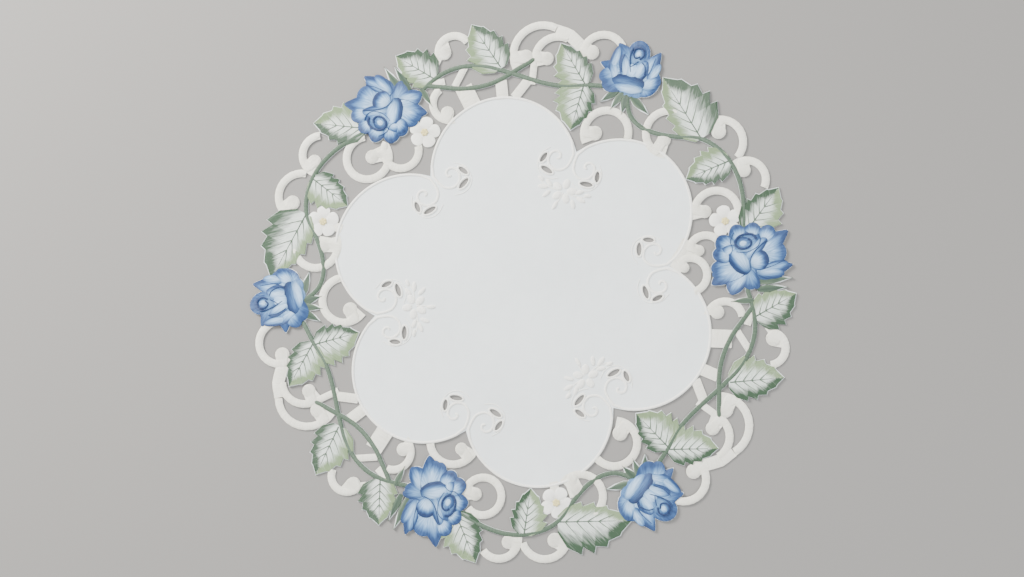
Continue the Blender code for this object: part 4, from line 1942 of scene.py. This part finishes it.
@dataclass
class Flowers:
    """Small white flowers with a yellow middle."""

    lay: Lay
    radius: float = 11.8
    petals: int = 5
    petal_base: float = 0.75
    petal_lift: float = 0.03
    petal_puff: float = 0.6
    knots: int = 7
    knot_reach: float = 1.75
    knot: float = 1.15
    knot_base: float = 1.25
    knot_puff: float = 0.55
    knot_foot: float = 0.9
    rows: tuple[tuple[float, float, float, tuple[int, ...]], ...] = (
        # bearing, radius, turn, repeats
        (10.1, 156.6, 10.0, (0,)),
        (-6.1, 139.2, 30.0, (1,)),
        (32.2, 157.2, 0.0, (1, 2)),
    )

    def outlines(self) -> list[Motif]:
        """What the ground keeps under the needlework.

        Returns:
            Outline and repeat of every flower.
        """
        found = []
        steps = self.petals * 6
        for bearing, radius, turn, repeats in self.rows:
            outline = []
            for i in range(steps):
                reach = 0.6 + 0.4 * abs(math.cos(self.petals * math.pi * i / steps)) ** 0.55
                way = stepped((0.0, 0.0), 360.0 * i / steps + turn, self.radius * reach)
                outline.append(beside((bearing, radius), *way))
            found += [(outline, repeat) for repeat in repeats]
        return found

    def petal_stitch(self, place: Place, turn: float, petal: int, reach: float, angle: float) -> Stitch:
        """The stitch of a petal.

        Args:
            place: Bearing and radius of the flower.
            turn: Heading of its first petal.
            petal: Number of the petal.
            reach: Share of its reach.
            angle: Angle from its tip, in radians.

        Returns:
            The stitch.
        """
        ahead = self.radius * (0.57 + 0.41 * reach * math.cos(angle))
        side = self.radius * 0.40 * reach * math.sin(angle) * (1.0 + 0.25 * math.cos(angle))
        x, y = beside(place, *stepped((0.0, 0.0), turn + 360.0 / self.petals * petal, ahead, side))
        high = self.petal_base + self.petal_lift * petal + self.petal_puff * (1.0 - reach**2.6)
        return Stitch(x, y, high, ahead, math.atan2(side, ahead) * self.radius * 0.7)

    def knot_stitch(self, place: Place, number: int, reach: float, angle: float) -> Stitch:
        """The stitch of a small round knot.

        Args:
            place: Bearing and radius of the flower.
            number: Number of the knot. The first lies in the middle.
            reach: Share of its reach.
            angle: Angle about its middle, in radians.

        Returns:
            The stitch.
        """
        middle = stepped((0.0, 0.0), 360.0 * number / (self.knots - 1), self.knot_reach if number else 0.0)
        x, y = beside(place, *stepped(middle, math.degrees(angle), self.knot * reach))
        return Stitch(x, y, self.knot_base + self.knot_puff * bulge(reach), reach, angle)

    def build(self, white: Material, yellow: Material) -> list[Object]:
        """Builds the petals and the middles.

        Args:
            white: Finish of the petals.
            yellow: Finish of the middles.

        Returns:
            Both pieces.
        """
        petals, middles = Work("flower_petals", self.lay), Work("flower_middles", self.lay)
        for bearing, radius, turn, repeats in self.rows:
            place = (bearing, radius)
            for repeat in repeats:
                for petal in range(self.petals):
                    petals.dome(partial(self.petal_stitch, place, turn, petal), 24, 5, repeat)
                for number in range(self.knots):
                    middles.dome(partial(self.knot_stitch, place, number), 10, 3, repeat, self.knot_foot)
        return [petals.finish(white), middles.finish(yellow)]


@dataclass
class Edging:
    """The satin line round the middle with its curls, and the rims of the eyelets."""

    lay: Lay
    ground: GroundCloth
    width: float = 1.9
    base: float = 0.55
    top: float = 1.15
    guard_width: float = 1.5
    guard_top: float = 1.05
    rim_grow: float = 0.55
    # degrees of each lobe's arc that are left to the curls, at both its ends
    curl_swing: float = 8.0
    eyelets: Table = (
        # off_valley, radius, lean, length, breadth
        (12.4, 99.9, -28.0, 8.4, 3.8),
        (10.0, 91.2, 70.0, 10.0, 4.0),
    )
    # the curl and its guard line as across and out from each valley at the radius below
    curl_radius: float = 92.0
    curl: Route = (
        (1.5, 16.0), (1.6, 9.5), (3.4, 3.8), (8.6, 0.2), (14.6, 1.4), (17.8, 6.0), (17.2, 11.0), (13.8, 13.4),
        (10.6, 12.2), (10.0, 9.4), (12.2, 8.4),
    )
    guard: Route = (
        (19.6, 14.4), (23.8, 9.0), (24.6, 3.0), (22.4, -3.4), (17.4, -7.2), (11.4, -7.6), (5.6, -5.0),
    )

    def valleys(self) -> list[float]:
        """The bearing of every valley."""
        return [self.ground.lobe_turn + self.ground.lobe_turns * i for i in range(self.ground.lobes)]

    def mirrored(self, valley: float, line: Route, side: int) -> list[Place]:
        """A line beside a valley, on its side 1 or its side -1, as x and y."""
        return [beside((valley, self.curl_radius), side * across, out) for across, out in line]

    def eyelet_outlines(self, grow: float = 0.0, steps: int = 14) -> list[list[Place]]:
        """The outline of every eyelet.

        Args:
            grow: How much larger it is than the eyelet.
            steps: How many points it has.

        Returns:
            The outlines as x and y.
        """
        found = []
        for valley in self.valleys():
            for off_valley, radius, lean, length, breadth in self.eyelets:
                for side in (-1, 1):
                    outline = []
                    for i in range(steps):
                        ahead = (length / 2 + grow) * math.cos(math.tau * i / steps)
                        aside = (breadth / 2 + grow) * math.sin(math.tau * i / steps)
                        way = stepped((0.0, 0.0), side * lean, ahead, -aside)
                        outline.append(beside((valley + side * off_valley, radius), *way))
                    found.append(outline)
        return found

    def lobe_line(self, valley: float) -> list[Place]:
        """The edging of a lobe.

        Args:
            valley: Bearing of the valley before it.

        Returns:
            The line as x and y, from the inside of one curl along the lobe to the inside of the next.
        """
        bearing = valley + self.ground.lobe_turns / 2
        hub = spot(bearing, self.ground.lobe_hub)
        swing = self.ground.lobe_swing - self.curl_swing
        rim = arc(hub, self.ground.lobe_radius - self.width / 2, bearing - swing, bearing + swing, 4.0)
        ahead = self.mirrored(valley, self.curl, 1)
        behind = self.mirrored(valley + self.ground.lobe_turns, self.curl, -1)
        route = smooth_route(ahead[::-1], 5) + smooth_route([ahead[0], rim[0]], 3)[1:-1] + rim
        return route + smooth_route([rim[-1], behind[0]], 3)[1:-1] + smooth_route(behind, 5)

    def build(self, material: Material) -> Object:
        """Builds the edging as one piece.

        Args:
            material: Its finish.

        Returns:
            The piece.
        """
        work = Work("middle_edging", self.lay)
        for valley in self.valleys():
            work.ribbon(self.lobe_line(valley), self.width, self.base, self.top, 0)
            for side in (-1, 1):
                guard = smooth_route(self.mirrored(valley, self.guard, side), 5)
                work.ribbon(guard, self.guard_width, self.base, self.guard_top, 0, ends=(0.4, 0.4))
        for outline in self.eyelet_outlines(self.rim_grow, 20):
            work.ribbon([*outline, *outline[:2]], self.guard_width, CLOTH_TOP, self.top, 0)
        return work.finish(material)


@dataclass
class Sprays:
    """White flowers with sprigs, worked tone on tone on the middle."""

    lay: Lay
    place: Place = (60.7, 92.0)
    base: float = 0.55
    puff: float = 0.85
    foot: float = 0.3
    twig_width: float = 1.1
    twig_top: float = 0.85
    petals: Table = (
        # across, out, heading, length, breadth
        (-2.0, -7.0, 0.0, 7.6, 5.4), (3.6, -10.8, 72.0, 7.6, 5.4), (1.6, -17.2, 144.0, 7.6, 5.4),
        (-5.4, -17.2, 216.0, 7.6, 5.4), (-7.6, -10.8, 288.0, 7.6, 5.4),
        (10.5, -10.5, 60.0, 7.0, 3.2), (13.8, -14.6, 105.0, 8.0, 3.4), (9.4, -18.6, 150.0, 7.4, 3.2),
        (17.4, -9.4, 75.0, 5.6, 2.8), (-13.4, -9.4, -55.0, 7.0, 3.2), (-16.4, -14.4, -100.0, 7.6, 3.4),
        (-12.0, -19.4, -145.0, 7.4, 3.2), (-20.0, -9.8, -80.0, 5.4, 2.8), (0.4, -24.6, 172.0, 7.2, 3.0),
    )
    twigs: tuple[Route, ...] = (
        ((2.0, -13.0), (9.0, -13.4), (16.0, -11.4), (20.0, -8.6)),
        ((-5.0, -13.0), (-12.0, -13.4), (-18.0, -11.6), (-22.6, -8.8)),
        ((-2.0, -14.0), (-1.0, -20.0), (0.6, -27.0)),
    )

    def stitch(self, row: Sequence[float], reach: float, angle: float) -> Stitch:
        """The stitch of a small petal or leaf.

        Args:
            row: Its row of the table.
            reach: Share of its reach.
            angle: Angle from its tip, in radians.

        Returns:
            The stitch.
        """
        across, out, heading, length, breadth = row
        ahead, side = length / 2 * reach * math.cos(angle), breadth / 2 * reach * math.sin(angle)
        x, y = beside(self.place, *stepped((across, out), heading, ahead, side))
        return Stitch(x, y, self.base + self.puff * bulge(reach), side, ahead)

    def build(self, material: Material) -> Object:
        """Builds the sprays as one piece.

        Args:
            material: Its finish.

        Returns:
            The piece.
        """
        work = Work("white_sprays", self.lay)
        for repeat in ALL:
            for twig in self.twigs:
                route = smooth_route([beside(self.place, *point) for point in twig], 6)
                work.ribbon(route, self.twig_width, CLOTH_TOP, self.twig_top, repeat, 0.0, (1.0, 0.5))
            for row in self.petals:
                work.dome(partial(self.stitch, row), 18, 4, repeat, self.foot)
        return work.finish(material)


# ---------------------------------------------------------------- the stage


@dataclass
class Studio:
    """The floor, the lights and the camera."""

    floor_size: float = 6.0
    floor_under: float = 0.0001
    floor_colour: Colour = (0.225, 0.216, 0.203)
    floor_roughness: float = 0.9
    lamps: tuple[tuple[str, Colour, float, float, Colour], ...] = (
        # name, place in metres, size, watts, colour
        ("key", (-0.95, 0.80, 0.75), 0.5, 60.0, (1.0, 0.98, 0.95)),
        ("fill", (1.1, -0.6, 1.3), 1.2, 25.0, (0.94, 0.97, 1.0)),
    )
    sky_colour: Colour = (0.95, 0.97, 1.0)
    sky_strength: float = 1.15
    image_width: float = 1024.0
    image_height: float = 577.0
    sensor: float = 36.0
    # the view over the cloth: where the middle is in the image, pixels in a millimetre, and how depth grows
    middle: Place = (521.25, 291.17)
    scale: float = 1.3575
    depth_across: float = -6.37e-5
    depth_up: float = 3.46e-5
    distance: float = 700.0

    def build_floor(self) -> None:
        """Adds the plain floor."""
        shape = bmesh.new()
        bmesh.ops.create_grid(shape, x_segments=8, y_segments=8, size=self.floor_size / 2)
        bmesh.ops.translate(shape, verts=shape.verts, vec=(0.0, 0.0, -self.floor_under))
        mesh = bpy.data.meshes.new("floor")
        shape.to_mesh(mesh)
        shape.free()
        material = bpy.data.materials.new("pale_floor")
        material.use_nodes = True
        shader = material.node_tree.nodes["Principled BSDF"]
        shader.inputs["Base Color"].default_value = (*self.floor_colour, 1.0)
        shader.inputs["Roughness"].default_value = self.floor_roughness
        mesh.materials.append(material)
        floor = bpy.data.objects.new("floor", mesh)
        bpy.context.scene.collection.objects.link(floor)
        floor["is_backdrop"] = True

    def build_lights(self) -> None:
        """Adds the soft lights, which face the doily, and the even sky."""
        for name, place, size, watts, colour in self.lamps:
            lamp = bpy.data.lights.new(name, "AREA")
            lamp.shape = "SQUARE"
            lamp.size = size
            lamp.energy = watts
            lamp.color = colour
            holder = bpy.data.objects.new(name, lamp)
            holder.location = place
            holder.rotation_euler = (-Vector(place)).to_track_quat("-Z", "Y").to_euler()
            bpy.context.scene.collection.objects.link(holder)
        world = bpy.data.worlds.new("even_sky")
        world.use_nodes = True
        sky = world.node_tree.nodes["Background"]
        sky.inputs["Color"].default_value = (*self.sky_colour, 1.0)
        sky.inputs["Strength"].default_value = self.sky_strength
        bpy.context.scene.world = world

    def build_camera(self) -> None:
        """Adds the camera above the doily."""
        across, up_share = self.depth_across * self.distance, self.depth_up * self.distance
        view = Vector((across, up_share, -math.sqrt(1.0 - across**2 - up_share**2)))
        aim_x = (self.image_width / 2 - self.middle[0]) / self.scale
        aim_y = (self.middle[1] - self.image_height / 2) / self.scale
        aim = Vector((aim_x, aim_y, 0.0))
        right = view.cross(Vector((0.0, 1.0, 0.0))).normalized()
        up = right.cross(view)
        stand = aim - view * (self.distance + view.dot(aim))
        lens = bpy.data.cameras.new("camera")
        lens.sensor_width = self.sensor
        lens.lens = self.scale * self.distance / self.image_width * self.sensor
        camera = bpy.data.objects.new("camera", lens)
        facing = Matrix((right, up, -view)).transposed().to_4x4()
        camera.matrix_world = Matrix.Translation(stand * MM) @ facing
        bpy.context.scene.collection.objects.link(camera)
        bpy.context.scene.camera = camera

    def build(self) -> None:
        """Adds everything that isn't the doily."""
        self.build_floor()
        self.build_lights()
        self.build_camera()


def main() -> None:
    """Builds the doily piece by piece, then the stage."""
    logging.basicConfig(level=logging.INFO, format="%(relativeCreated)d %(name)s %(message)s")
    cad_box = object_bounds()
    lay = Lay()
    for add_group in (add_thread_group, add_weave_group, add_mottle_and_shade_group):
        add_group()
    linen = Linen("woven_cloth", roughness=0.85, sheen=0.1).material()
    ivory = PlainSatin("ivory_satin").material()
    white = PlainSatin("white_satin", pale=(0.99, 0.98, 0.91), dull=(0.93, 0.915, 0.83)).material()
    yellow = PlainSatin("yellow_knots", pale=(0.86, 0.76, 0.38), dull=(0.80, 0.66, 0.26)).material()
    blues = ShadedSatin("blue_satin", stops=BLUES).material()
    greens = ShadedSatin("green_satin", stops=GREENS).material()
    leaf = LeafSatin("leaf_satin").material()

    scrolls, stems, leaves, sepals, flowers = Scrolls(lay), Stems(lay), Leaves(lay), Sepals(lay), Flowers(lay)
    large, small = LargeRoses(lay), SmallRoses(lay)
    ground = GroundCloth(lay)
    edging = Edging(lay, ground)
    border = (scrolls, stems, leaves, sepals, flowers, large, small)
    motifs = [motif for part in border for motif in part.outlines()]
    cloth = ground.build(motifs, [(outline, 0) for outline in edging.eyelet_outlines()], linen)

    work = [scrolls.build(ivory), stems.build(greens), *leaves.build(leaf, greens), sepals.build(greens)]
    work += [large.build(blues), small.build(blues), *flowers.build(white, yellow)]
    work += [edging.build(white), Sprays(lay).build(white)]
    Studio().build()
    boxes = [[list(corner) for corner in box] for box in (cad_box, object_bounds())]
    LOG.info("boxes %s", boxes)


if __name__ == "__main__":
    main()
